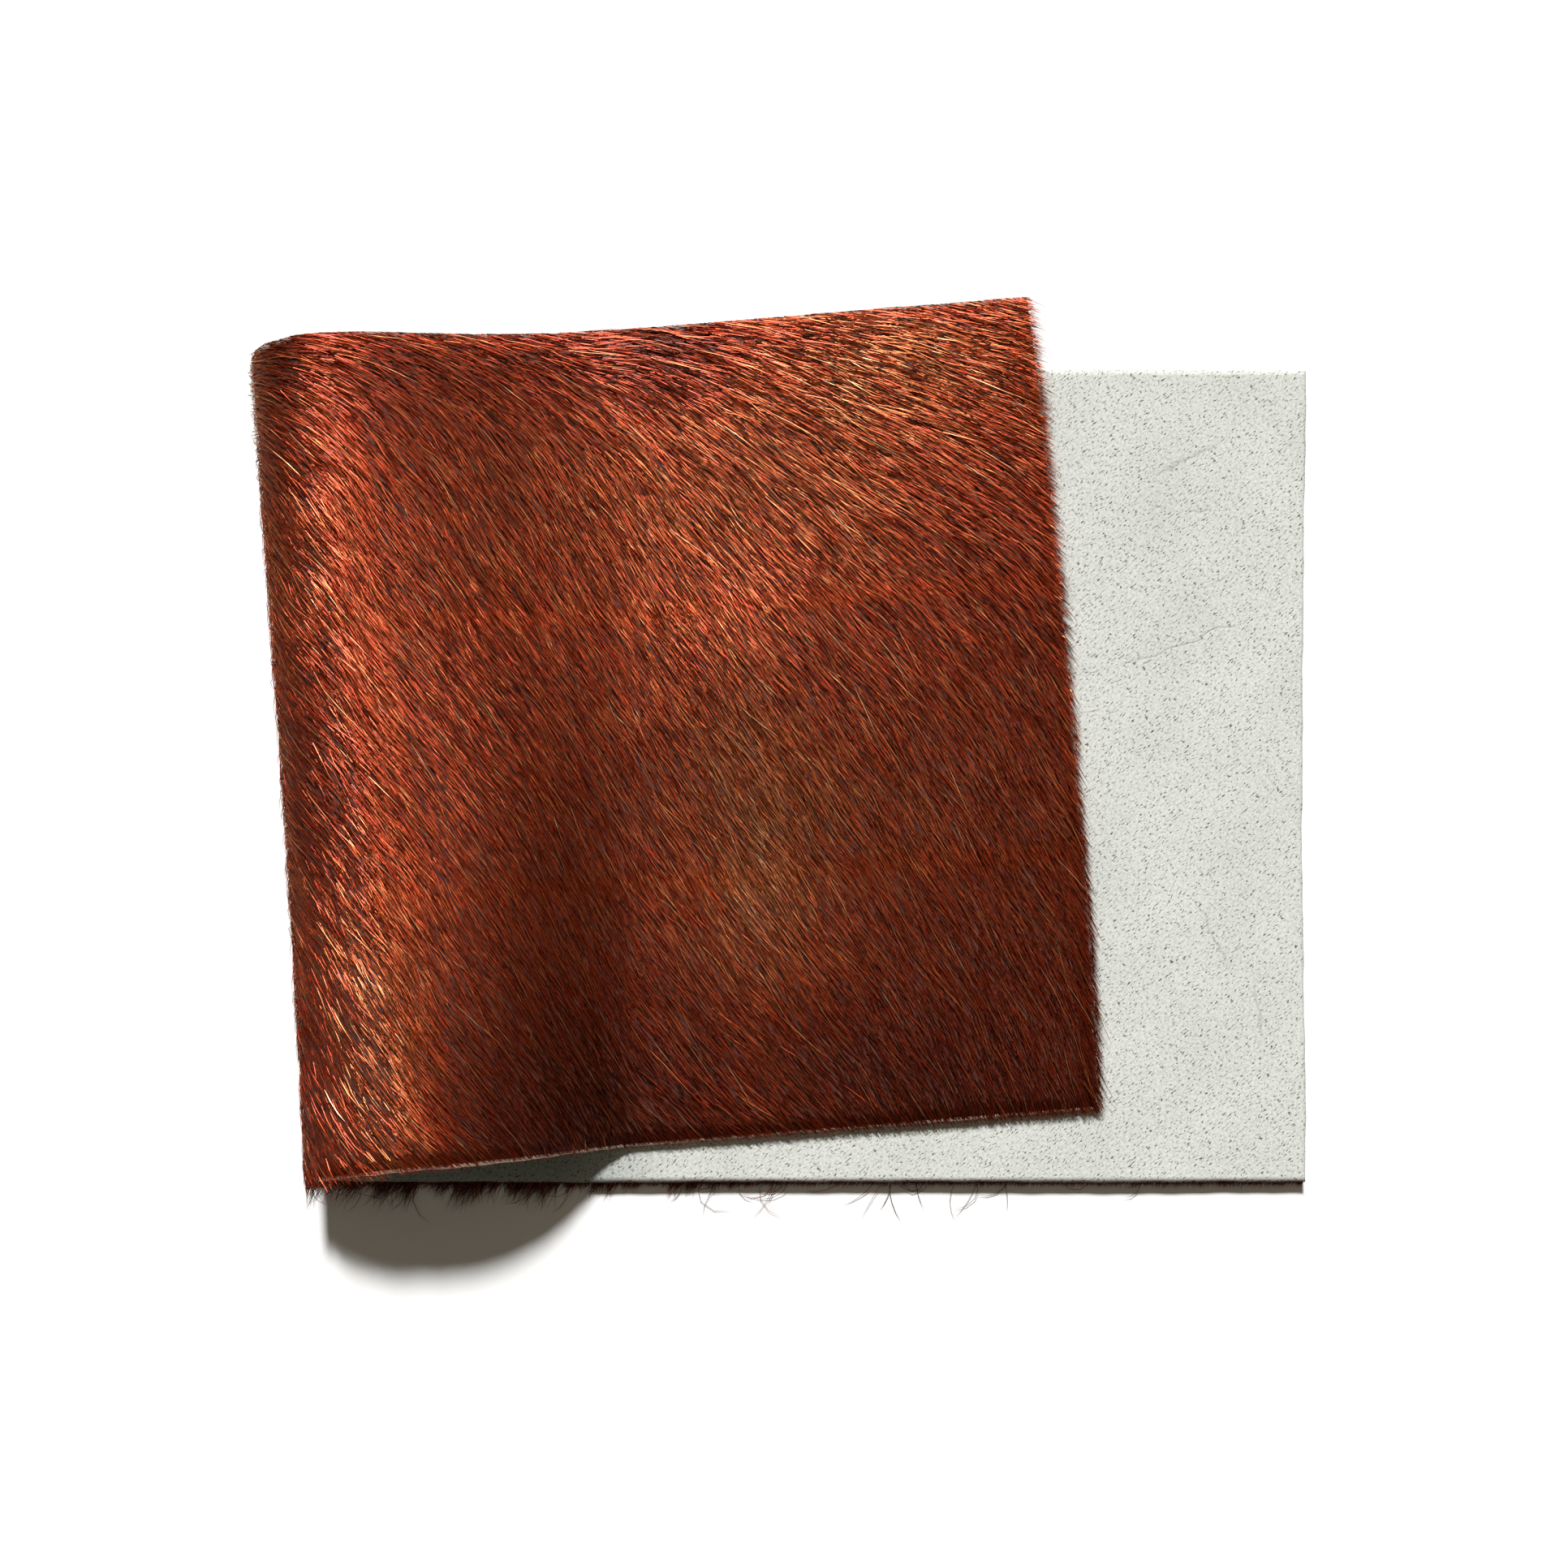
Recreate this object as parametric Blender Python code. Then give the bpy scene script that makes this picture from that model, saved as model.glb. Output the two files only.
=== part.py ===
"""A cut piece of hair-on hide, folded once over itself with the hair outside.

The lower layer lies hair down and flesh side up. At the left it turns up into a
loose open loop, fuller at the front edge than at the back, and comes back over
itself as the upper layer, hair up and turned a few degrees. The leather is one
sheet, the coat of hair is a second one on its outer side, and rows of pointed
locks stand out along the cut edges that the hair leans over.

Units are metres. +X runs along the piece, +Y to its back edge, +Z is up.
"""

import math
import random
from typing import NamedTuple

import bmesh
import bpy
import numpy as np
from mathutils import Vector

MM = 0.001

# Sizes of the cut piece
WIDTH = 203.2 * MM
LENGTH = 455.0 * MM
END_SKEW = 3.5 * MM  # how much longer the back edge was cut than the front edge
LEATHER = 1.3 * MM
COAT = 2.3 * MM
PRESSED_COAT = 1.7 * MM  # under the lower layer's weight
GAP = 0.3 * MM  # between neighbouring solids, and between the two layers

# How it lies. The sheet that is bent is the flesh side, the inner face of the fold.
LOWER_END = 131.75 * MM
FRONT = -45.2 * MM
LOWER_FLESH = PRESSED_COAT + GAP + LEATHER
UPPER_FLESH = LOWER_FLESH + GAP
UPPER_TURN = math.radians(4.6)
UPPER_SHIFT = 2.65 * MM  # sideways drift of the strip as it passes round the fold
FOLD_BOW = 1.0 * MM  # the fold's line curves in by this much at mid width
LOWER_HOLLOW = 0.9 * MM  # the two ends' cuts curve in by this much
FREE_HOLLOW = 1.5 * MM

# Quarter of an ellipse as one cubic curve
ROUND = 0.5523

# Mesh steps
ALONG_LOWER = 8
ALONG_RISE = 8
ALONG_TURN = 10
ALONG_FALL = 15
ALONG_UPPER = 13
ACROSS = 13
TAPER = 5.0 * MM  # the coat thins over this width where the hair leans inwards
TAPER_SHARE = 0.4
SWELL = 0.05  # the coat is up to twice this share thinner between its swells
SWELL_ALONG = 31.0 * MM
SWELL_ACROSS = 23.0 * MM
CURVE_STEPS = 40

# Locks at the cut edges
ROOT_STRIP = 1.3 * MM
INSET = ROOT_STRIP + GAP
BARE_SHARE = 0.3  # of a lock's pitch is gap
LEAN_SPREAD = 5.0  # degrees either way
SHORT_BIAS = 1.5  # above 1 there are more short locks than long ones
MIDDLE_REACH = 0.5  # where a lock narrows, and to what share of its root
MIDDLE_WIDTH = 0.62
MIDDLE_THICK = 0.64

# Step for measuring the surface's directions
PROBE = 0.2 * MM


class Fold(NamedTuple):
    """The fold's section at one edge of the strip, measured from its outermost point."""

    left: float
    heel: float
    waist: float
    crest: float
    height: float
    landing: float
    crest_ease: float
    landing_ease: float


FOLD_FRONT = Fold(
    left=-113.0 * MM,
    heel=20.0 * MM,
    waist=13.5 * MM,
    crest=27.0 * MM,
    height=27.0 * MM,
    landing=78.0 * MM,
    crest_ease=0.62,
    landing_ease=0.30,
)
FOLD_BACK = Fold(
    left=-127.7 * MM,
    heel=12.0 * MM,
    waist=9.5 * MM,
    crest=14.0 * MM,
    height=18.5 * MM,
    landing=92.0 * MM,
    crest_ease=0.22,
    landing_ease=0.50,
)


class Locks(NamedTuple):
    """One row of locks along a cut edge."""

    name: str
    along: tuple  # where the row starts and ends, as a share of the edge
    count: int
    reach: tuple  # shortest lock, then the longest one at the row's start and at its end
    lean: tuple  # angle from straight out, at the row's start and end
    thick: float  # at the root
    rise: tuple  # how far off the skin a lock's middle and tip are, as shares of thick
    droop: float  # how far the tip sinks, as a share of its reach
    clear: float  # how far the row's strip is from the leather


# Along the front edge a share runs from the lower end to the upper one.
# Along the free end it runs from the front edge to the back one.
LOWER_FRONT = Locks(
    name="locks_lower_front",
    along=(0.004, 0.494),
    count=66,
    reach=(1.8 * MM, 5.0 * MM, 9.0 * MM),
    lean=(22.0, 34.0),
    thick=PRESSED_COAT,
    rise=(1.0 - 0.5 * MIDDLE_THICK, 0.85),
    droop=0.0,
    clear=GAP,
)
FOLD_LOCKS = Locks(
    name="locks_fold_front",
    along=(0.512, 0.600),
    count=14,
    reach=(1.8 * MM, 6.5 * MM, 3.0 * MM),
    lean=(34.0, 40.0),
    thick=0.8 * COAT,
    rise=(0.5, 0.35),
    droop=0.12,
    clear=GAP + 0.12 * MM,
)
UPPER_FRONT = Locks(
    name="locks_upper_front",
    along=(0.790, 0.990),
    count=32,
    reach=(0.8 * MM, 1.4 * MM, 2.4 * MM),
    lean=(36.0, 44.0),
    thick=0.8 * COAT,
    rise=(0.5, 0.35),
    droop=0.12,
    clear=GAP,
)
FREE_END = Locks(
    name="locks_free_end",
    along=(0.012, 0.985),
    count=62,
    reach=(1.6 * MM, 6.0 * MM, 4.0 * MM),
    lean=(-50.0, -8.0),
    thick=0.8 * COAT,
    rise=(0.5, 0.35),
    droop=0.12,
    clear=GAP,
)

# Finishes, as linear colours
FLESH_COLOUR = (0.70, 0.71, 0.66, 1.0)
HAIR_COLOUR = (0.17, 0.036, 0.012, 1.0)
TIP_COLOUR = (0.21, 0.050, 0.018, 1.0)


def clear_scene():
    """Removes whatever the scene holds."""
    for obj in list(bpy.data.objects):
        bpy.data.objects.remove(obj)


def finish(name, colour, roughness):
    """A plain matt material."""
    material = bpy.data.materials.new(name)
    material.use_nodes = True
    shader = material.node_tree.nodes["Principled BSDF"]
    shader.inputs["Base Color"].default_value = colour
    shader.inputs["Roughness"].default_value = roughness
    shader.inputs["Metallic"].default_value = 0.0
    return material


def smooth(x):
    """Eases from 0 to 1."""
    x = min(max(x, 0.0), 1.0)
    return x * x * (3.0 - 2.0 * x)


def cubic(start, leave, arrive, end):
    """Points along a cubic curve with these four control points."""
    t = np.linspace(0.0, 1.0, CURVE_STEPS)[:, None]
    corners = [np.array(p) for p in (start, leave, arrive, end)]
    weights = ((1 - t) ** 3, 3 * t * (1 - t) ** 2, 3 * t**2 * (1 - t), t**3)
    return sum(w * p for w, p in zip(weights, corners))


class Section:
    """The strip's side view at one place across its width, from 0 at the front to 1 at the back."""

    def __init__(self, across):
        front, back = np.array(FOLD_FRONT), np.array(FOLD_BACK)
        fold = Fold(*(front + (back - front) * across))
        self.left = fold.left + FOLD_BOW * 4.0 * across * (1.0 - across)
        self.side = FRONT + WIDTH * across
        hollow = math.sin(math.pi * min(max(across, 0.0), 1.0)) ** 2
        self.lower_run = LOWER_END - LOWER_HOLLOW * hollow - self.left
        self.length = LENGTH + END_SKEW * across - FREE_HOLLOW * hollow

        heel = (fold.heel, LOWER_FLESH)
        waist = (0.0, fold.waist)
        crest = (fold.crest, fold.height)
        landing = (fold.landing, UPPER_FLESH)
        run = fold.landing - fold.crest
        rise = cubic(
            heel,
            (fold.heel * (1 - ROUND), LOWER_FLESH),
            (0.0, fold.waist - ROUND * (fold.waist - LOWER_FLESH)),
            waist,
        )
        turn = cubic(
            waist,
            (0.0, fold.waist + ROUND * (fold.height - fold.waist)),
            (fold.crest * (1 - ROUND), fold.height),
            crest,
        )
        fall = cubic(
            crest,
            (fold.crest + fold.crest_ease * run, fold.height),
            (fold.landing - fold.landing_ease * run, UPPER_FLESH),
            landing,
        )
        start = [(self.lower_run, LOWER_FLESH)]
        end = [(fold.landing + self.length, UPPER_FLESH)]
        self.points = np.vstack([start, rise[:-1], turn[:-1], fall, end])
        steps = np.linalg.norm(np.diff(self.points, axis=0), axis=1)
        self.distance = np.concatenate([[0.0], np.cumsum(steps)])
        self.heel_at = self.distance[1]
        self.waist_at = self.distance[CURVE_STEPS]
        self.crest_at = self.distance[2 * CURVE_STEPS - 1]
        self.landing_at = self.distance[-2]

    def stations(self):
        """Distances along the strip where the mesh has a line, closest together in the loop."""
        marks = (0.0, self.heel_at, self.waist_at, self.crest_at, self.landing_at, self.length)
        steps = (ALONG_LOWER, ALONG_RISE, ALONG_TURN, ALONG_FALL, ALONG_UPPER)
        lines = [np.linspace(a, b, n + 1)[:-1] for a, b, n in zip(marks, marks[1:], steps)]
        return np.concatenate([*lines, [self.length]])

    def point(self, distance):
        """Where the flesh side is, this far along the strip from its lower end."""
        run = np.interp(distance, self.distance, self.points[:, 0])
        height = np.interp(distance, self.distance, self.points[:, 1])
        turned = smooth((distance - self.heel_at) / (self.crest_at - self.heel_at))
        drift = run * math.sin(UPPER_TURN) + UPPER_SHIFT
        shrink = 1.0 - turned * (1.0 - math.cos(UPPER_TURN))
        return Vector((self.left + run * shrink, self.side + turned * drift, height))

    def outward(self, distance):
        """The unit normal on the hair side, from steps along and across the strip."""
        along = self.point(distance + PROBE) - self.point(distance - PROBE)
        other = Section((self.side - FRONT + PROBE) / WIDTH)
        shift = other.heel_at - self.heel_at if distance > self.heel_at else 0.0
        across = other.point(distance + shift) - self.point(distance)
        return along.cross(across).normalized()


def bent_grid(name, lines, trim_start, trim_end):
    """A one-sided sheet of the flesh side, with a mesh line at each place across in lines.

    trim_start and trim_end shorten the strip at its lower end and its free end.
    """
    mesh = bpy.data.meshes.new(name)
    builder = bmesh.new()
    rows = []
    for across in lines:
        section = Section(across)
        stations = section.stations()
        stations[0] += trim_start
        stations[-1] -= trim_end
        rows.append([builder.verts.new(section.point(d)) for d in stations])
    for near, far in zip(rows, rows[1:]):
        for i in range(len(near) - 1):
            builder.faces.new((near[i], near[i + 1], far[i + 1], far[i]))
    builder.to_mesh(mesh)
    builder.free()
    obj = bpy.data.objects.new(name, mesh)
    bpy.context.scene.collection.objects.link(obj)
    return obj


def push_out(obj, distance):
    """Moves a one-sided sheet outwards along its own normals."""
    mesh = obj.data
    moved = [v.co + Vector(n.vector) * distance for v, n in zip(mesh.vertices, mesh.vertex_normals)]
    for vertex, place in zip(mesh.vertices, moved):
        vertex.co = place


def thicken(obj, thickness, shares=None):
    """Gives a one-sided sheet its thickness outwards, thinner where a share is under 1."""
    solid = obj.modifiers.new("thickness", "SOLIDIFY")
    solid.thickness = thickness
    solid.offset = 1.0
    if shares is not None:
        group = obj.vertex_groups.new(name="thickness")
        for index, share in enumerate(shares):
            group.add([index], share, "REPLACE")
        solid.vertex_group = group.name


def make_leather(parent, material):
    """The whole skin as one sheet."""
    lines = [i / ACROSS for i in range(ACROSS + 1)]
    leather = bent_grid("leather", lines, 0.0, 0.0)
    thicken(leather, LEATHER)
    leather.data.materials.append(material)
    leather.data.shade_smooth()
    leather.parent = parent
    return leather


def coat_share(section, distance, at_back):
    """The coat's thickness here as a share of COAT: pressed under the lower layer, a little
    uneven above it, and thin at its back edge, where the hair leans away from the cut."""
    lifted = smooth((distance - section.heel_at) / (section.crest_at - section.heel_at))
    share = (PRESSED_COAT + (COAT - PRESSED_COAT) * lifted) / COAT
    if at_back:
        share *= 1.0 - (1.0 - TAPER_SHARE) * lifted
    swell = math.sin(distance / SWELL_ALONG) * math.sin(section.side / SWELL_ACROSS)
    return share * (1.0 - SWELL * lifted * (1.0 + swell))


def make_coat(parent, material):
    """The coat of hair, as a slab on the leather's outer side."""
    first = INSET / WIDTH
    last = 1.0 - TAPER / WIDTH
    lines = [first + (last - first) * i / (ACROSS - 1) for i in range(ACROSS)] + [1.0]
    coat = bent_grid("hair_coat", lines, 0.0, INSET)
    push_out(coat, LEATHER + GAP)
    shares = []
    for across in lines:
        section = Section(across)
        shares += [coat_share(section, d, across == 1.0) for d in section.stations()]
    thicken(coat, COAT, shares)
    coat.data.materials.append(material)
    coat.data.shade_smooth()
    coat.parent = parent
    return coat


def edge_frame(row, share):
    """A place on a cut edge and its directions: straight out, along the edge and off the skin."""
    if row is FREE_END:
        section = Section(share)
        at = section.length
        near, far = (Section(share + side * PROBE / WIDTH) for side in (-1, 1))
        along = (far.point(far.length) - near.point(near.length)).normalized()
    else:
        section = Section(0.0)
        at = section.length * share
        along = (section.point(at + PROBE) - section.point(at - PROBE)).normalized()
    up = section.outward(at)
    out = along.cross(up).normalized()
    if out.dot(Vector((1.0, -1.0, 0.0))) < 0.0:
        out = -out
    return section.point(at) + up * (LEATHER + row.clear), out, along, up


def lock_ring(centre, along, up, half_width, half_height):
    """The four corners of a lock's section, going round it."""
    side = along * half_width
    rise = up * half_height
    return [centre - side - rise, centre + side - rise, centre + side + rise, centre - side + rise]


def make_locks(row, parent, material):
    """A row of pointed locks whose roots stand on one narrow strip."""
    dice = random.Random(row.name)
    builder = bmesh.new()
    pitch = (row.along[1] - row.along[0]) / row.count
    ends = (0.5 * BARE_SHARE, 1.0 - 0.5 * BARE_SHARE)
    stations = [row.along[0] + pitch * (i + end) for i in range(row.count) for end in ends]
    frames = [edge_frame(row, share) for share in stations]
    rings = []
    for foot, out, along, up in frames:
        inner = foot - out * ROOT_STRIP
        top = up * row.thick
        rings.append([builder.verts.new(c) for c in (inner, inner + top, foot + top, foot)])
    for i, (a, b) in enumerate(zip(rings, rings[1:])):
        sides = [(0, 1), (1, 2), (3, 0)]
        if i % 2:
            sides.append((2, 3))
        for j, k in sides:
            builder.faces.new((a[j], a[k], b[k], b[j]))
    builder.faces.new(rings[0])
    builder.faces.new(rings[-1])
    for i in range(row.count):
        pair = slice(2 * i, 2 * i + 2)
        add_lock(builder, row, frames[pair], rings[pair], i / row.count, dice)
    bmesh.ops.recalc_face_normals(builder, faces=builder.faces)
    mesh = bpy.data.meshes.new(row.name)
    builder.to_mesh(mesh)
    builder.free()
    mesh.materials.append(material)
    obj = bpy.data.objects.new(row.name, mesh)
    bpy.context.scene.collection.objects.link(obj)
    obj.parent = parent
    return obj


def add_lock(builder, row, frames, rings, share, dice):
    """One lock, from its quad on the strip through a narrower section to a point."""
    foot = (frames[0][0] + frames[1][0]) / 2
    out, along, up = frames[0][1:]
    width = (frames[1][0] - frames[0][0]).length
    spread = dice.uniform(-LEAN_SPREAD, LEAN_SPREAD)
    lean = math.radians(row.lean[0] + (row.lean[1] - row.lean[0]) * share + spread)
    heading = out * math.cos(lean) + along * math.sin(lean)
    longest = row.reach[1] + (row.reach[2] - row.reach[1]) * share
    reach = row.reach[0] + (longest - row.reach[0]) * dice.random() ** SHORT_BIAS
    middle = foot + up * (row.rise[0] * row.thick) + heading * (MIDDLE_REACH * reach)
    tip = foot + up * (row.rise[1] * row.thick) + heading * reach
    tip.z -= row.droop * reach
    near = [rings[0][3], rings[1][3], rings[1][2], rings[0][2]]
    corners = lock_ring(middle, along, up, 0.5 * MIDDLE_WIDTH * width, 0.5 * MIDDLE_THICK * row.thick)
    ring = [builder.verts.new(c) for c in corners]
    point = builder.verts.new(tip)
    for j in range(4):
        k = (j + 1) % 4
        builder.faces.new((near[j], near[k], ring[k], ring[j]))
        builder.faces.new((ring[j], ring[k], point))


def centre_on_floor(parent):
    """Moves the whole piece so that the middle of its base is at the origin."""
    bpy.context.view_layer.update()
    graph = bpy.context.evaluated_depsgraph_get()
    corners = []
    for obj in parent.children:
        solid = obj.evaluated_get(graph).to_mesh()
        corners += [v.co.copy() for v in solid.vertices]
    places = np.array(corners)
    low, high = places.min(0), places.max(0)
    parent.location = (-(low[0] + high[0]) / 2, -(low[1] + high[1]) / 2, -low[2])


def main():
    """Builds the folded hide."""
    clear_scene()
    root = bpy.data.objects.new("folded_hide", None)
    bpy.context.scene.collection.objects.link(root)
    flesh = finish("flesh_side", FLESH_COLOUR, 0.92)
    hair = finish("hair", HAIR_COLOUR, 0.55)
    tips = finish("hair_tips", TIP_COLOUR, 0.5)
    make_leather(root, flesh)
    make_coat(root, hair)
    for row in (LOWER_FRONT, FOLD_LOCKS, UPPER_FRONT, FREE_END):
        make_locks(row, root, tips)
    centre_on_floor(root)


main()
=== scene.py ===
"""A piece of cattle hide with its hair on, cut to a rectangle and folded once, hair outside.

The pale skin is one closed sheet. Thousands of closed, tapered hairs stand on its outer side over an
undercoat painted dark as shade: short ones lying in the coat's own flow, long bright ones over them,
and tufts past the cut edges. Every shape is a surface of two parameters, worked out from the strip's fold.

Units are metres, +X along the piece, +Y to its back edge and +Z up.
"""

import logging
import math
from dataclasses import astuple, dataclass, field
from enum import Enum
from typing import NamedTuple

import bpy
import numpy as np
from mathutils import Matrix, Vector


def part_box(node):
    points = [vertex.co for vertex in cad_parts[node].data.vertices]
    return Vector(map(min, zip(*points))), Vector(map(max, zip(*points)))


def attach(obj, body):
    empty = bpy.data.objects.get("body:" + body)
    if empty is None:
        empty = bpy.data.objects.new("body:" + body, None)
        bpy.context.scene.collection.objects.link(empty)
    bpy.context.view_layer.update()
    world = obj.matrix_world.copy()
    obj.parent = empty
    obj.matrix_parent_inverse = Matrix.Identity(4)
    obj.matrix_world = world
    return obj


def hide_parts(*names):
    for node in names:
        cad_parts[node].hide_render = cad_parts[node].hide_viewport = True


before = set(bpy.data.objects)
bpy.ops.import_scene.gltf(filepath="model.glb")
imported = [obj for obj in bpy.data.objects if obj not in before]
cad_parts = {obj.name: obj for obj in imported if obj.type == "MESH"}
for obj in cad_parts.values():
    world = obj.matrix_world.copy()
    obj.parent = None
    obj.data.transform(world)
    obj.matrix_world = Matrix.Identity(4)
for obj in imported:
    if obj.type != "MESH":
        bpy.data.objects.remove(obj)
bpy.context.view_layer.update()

LOG = logging.getLogger("hide")
MM = 0.001

Array = np.ndarray
Colour = tuple[float, float, float]
Socket = bpy.types.NodeSocket

BAKE_UV = "OFBake"  # the layout for baking the colours to
STRIP_UV = "strip"  # metres along and across the cut piece
CORNER_REACH = 0.58  # from a hair's axis to its corners, by its width
TONE_WIDTH = 0.012  # half of what one hair takes up of the baked layout's tones


class Slot(Enum):
    """The two finishes that the record names."""

    FLESH = "flesh_side"
    HAIR = "hair"


class Mark(Enum):
    """Places along the strip where its bend changes."""

    LOWER_END = 0
    HEEL = 1
    WAIST = 2
    CREST = 3
    LANDING = 4
    FREE_END = 5


def smooth(value: Array) -> Array:
    """Eases from 0 to 1: 3 x squared less 2 x cubed, with x held between 0 and 1."""
    held = np.clip(value, 0.0, 1.0)
    return held * held * (3.0 - 2.0 * held)


def unit(vectors: Array) -> Array:
    """The same directions, one long."""
    return vectors / np.maximum(np.linalg.norm(vectors, axis=-1, keepdims=True), 1e-12)


def dot(first: Array, second: Array) -> Array:
    """The scalar products of two arrays of vectors."""
    return np.sum(first * second, axis=-1)


def cubic(start: Array, leave: Array, arrive: Array, end: Array, steps: int) -> Array:
    """Points along cubic curves: the four control points weighted by the Bernstein polynomials.

    Args:
        start, leave, arrive, end: control points, one row for each curve.
        steps: how many points each curve gets.

    Returns:
        An array of curves by points by two coordinates.
    """
    t = np.linspace(0.0, 1.0, steps)[None, :, None]
    weights = ((1 - t) ** 3, 3 * t * (1 - t) ** 2, 3 * t**2 * (1 - t), t**3)
    return sum(w * p[:, None] for w, p in zip(weights, (start, leave, arrive, end)))


@dataclass(frozen=True)
class Fold:
    """The fold's section at one edge of the strip, measured from its outermost point."""

    left: float
    heel: float
    waist: float
    crest: float
    height: float
    landing: float
    crest_ease: float
    landing_ease: float


FOLD_FRONT = Fold(
    left=-113.0 * MM,
    heel=20.0 * MM,
    waist=13.5 * MM,
    crest=27.0 * MM,
    height=27.0 * MM,
    landing=78.0 * MM,
    crest_ease=0.62,
    landing_ease=0.30,
)
FOLD_BACK = Fold(
    left=-127.7 * MM,
    heel=12.0 * MM,
    waist=9.5 * MM,
    crest=14.0 * MM,
    height=18.5 * MM,
    landing=92.0 * MM,
    crest_ease=0.22,
    landing_ease=0.50,
)


class Sample(NamedTuple):
    """The flesh side at some places: the point, its two slopes and its three unit directions."""

    point: Array
    by_progress: Array
    by_share: Array
    along: Array
    front: Array
    out: Array


@dataclass
class Strip:
    """The flesh side of the whole cut piece, as a surface of progress along it and share across it.

    Progress runs from 0 at the lower end to 1 at the free end, share from 0 at the front edge to 1
    at the back one. The side view at each share is a straight lower run, three cubic curves for the
    rise, the turn and the fall, and a straight upper run; the upper layer is turned and shifted
    sideways as it passes round the fold.
    """

    width: float = 203.2 * MM
    length: float = 455.0 * MM
    end_skew: float = 3.5 * MM
    lower_end: float = 131.75 * MM
    front: float = -45.2 * MM
    lower_flesh: float = 3.3 * MM
    upper_flesh: float = 3.6 * MM
    upper_turn: float = math.radians(4.6)
    upper_shift: float = 2.65 * MM
    fold_bow: float = 1.0 * MM
    lower_hollow: float = 0.9 * MM
    free_hollow: float = 1.5 * MM
    leather: float = 1.3 * MM
    round_share: float = 0.5523
    curve_steps: int = 40
    rows: int = 121
    columns: int = 1201
    marks: Array = field(init=False)
    table: Array = field(init=False)
    lengths: Array = field(init=False)

    def __post_init__(self) -> None:
        """Works out the table of points and slopes that every piece reads."""
        share = np.linspace(0.0, 1.0, self.rows)
        progress = np.linspace(0.0, 1.0, self.columns)
        points = self._points(share, progress)
        by_progress = np.gradient(points, progress, axis=1)
        by_share = np.gradient(points, share, axis=0)
        self.table = np.concatenate([points, by_progress, by_share], axis=-1)

    def _points(self, share: Array, progress: Array) -> Array:
        """Points of the flesh side, rows across by columns along, in the frame's coordinates.

        Args:
            share: places across.
            progress: places along.

        Returns:
            An array of rows by columns by three coordinates.
        """
        front, back = np.array(astuple(FOLD_FRONT)), np.array(astuple(FOLD_BACK))
        sizes = front + (back - front) * share[:, None]
        left, heel, waist, crest, height, landing, crest_ease, landing_ease = sizes.T
        left = left + self.fold_bow * 4.0 * share * (1.0 - share)
        hollow = np.sin(np.pi * share) ** 2
        lower_run = self.lower_end - self.lower_hollow * hollow - left
        self.lengths = self.length + self.end_skew * share - self.free_hollow * hollow
        ease, low, flat = 1.0 - self.round_share, self.lower_flesh, self.upper_flesh
        slope = landing - crest

        def pair(run: Array, rise: Array | float) -> Array:
            """Side-view points from their runs and heights."""
            return np.stack([run, np.broadcast_to(rise, run.shape)], axis=-1)

        zero = np.zeros_like(left)
        waist_point, crest_point = pair(zero, waist), pair(crest, height)
        rise = cubic(
            pair(heel, low),
            pair(heel * ease, low),
            pair(zero, waist - self.round_share * (waist - low)),
            waist_point,
            self.curve_steps,
        )
        turn = cubic(
            waist_point,
            pair(zero, waist + self.round_share * (height - waist)),
            pair(crest * ease, height),
            crest_point,
            self.curve_steps,
        )
        fall = cubic(
            crest_point,
            pair(crest + crest_ease * slope, height),
            pair(landing - landing_ease * slope, flat),
            pair(landing, flat),
            self.curve_steps,
        )
        start, end = pair(lower_run, low)[:, None], pair(landing + self.lengths, flat)[:, None]
        outline = np.concatenate([start, rise[:, :-1], turn[:, :-1], fall, end], axis=1)
        steps = np.linalg.norm(np.diff(outline, axis=1), axis=-1)
        distance = np.concatenate([np.zeros((len(share), 1)), np.cumsum(steps, axis=1)], axis=1)
        ends = (0, 1, self.curve_steps, 2 * self.curve_steps - 1, -2)
        marks = [distance[:, index] / self.lengths for index in ends] + [np.ones_like(share)]
        self.marks = np.stack(marks, axis=-1)

        at = self.lengths[:, None] * progress
        run = np.stack([np.interp(a, d, o[:, 0]) for a, d, o in zip(at, distance, outline)])
        rise_now = np.stack([np.interp(a, d, o[:, 1]) for a, d, o in zip(at, distance, outline)])
        heel_at, crest_at = distance[:, 1:2], distance[:, 2 * self.curve_steps - 1, None]
        turned = smooth((at - heel_at) / (crest_at - heel_at))
        shrink = 1.0 - turned * (1.0 - math.cos(self.upper_turn))
        drift = run * math.sin(self.upper_turn) + self.upper_shift
        side = (self.front + self.width * share)[:, None]
        points = np.stack([left[:, None] + run * shrink, side + turned * drift, rise_now], axis=-1)
        low_corner, high_corner = (np.array(corner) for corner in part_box("leather"))
        shift = (high_corner[0] - self.lower_end, low_corner[1] - self.front, 0.0)
        return points + np.array(shift)

    def mark(self, mark: Mark, share: Array) -> Array:
        """The progress at which a mark lies, at these places across."""
        rows = np.linspace(0.0, 1.0, self.rows)
        return np.interp(share, rows, self.marks[:, mark.value])

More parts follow.
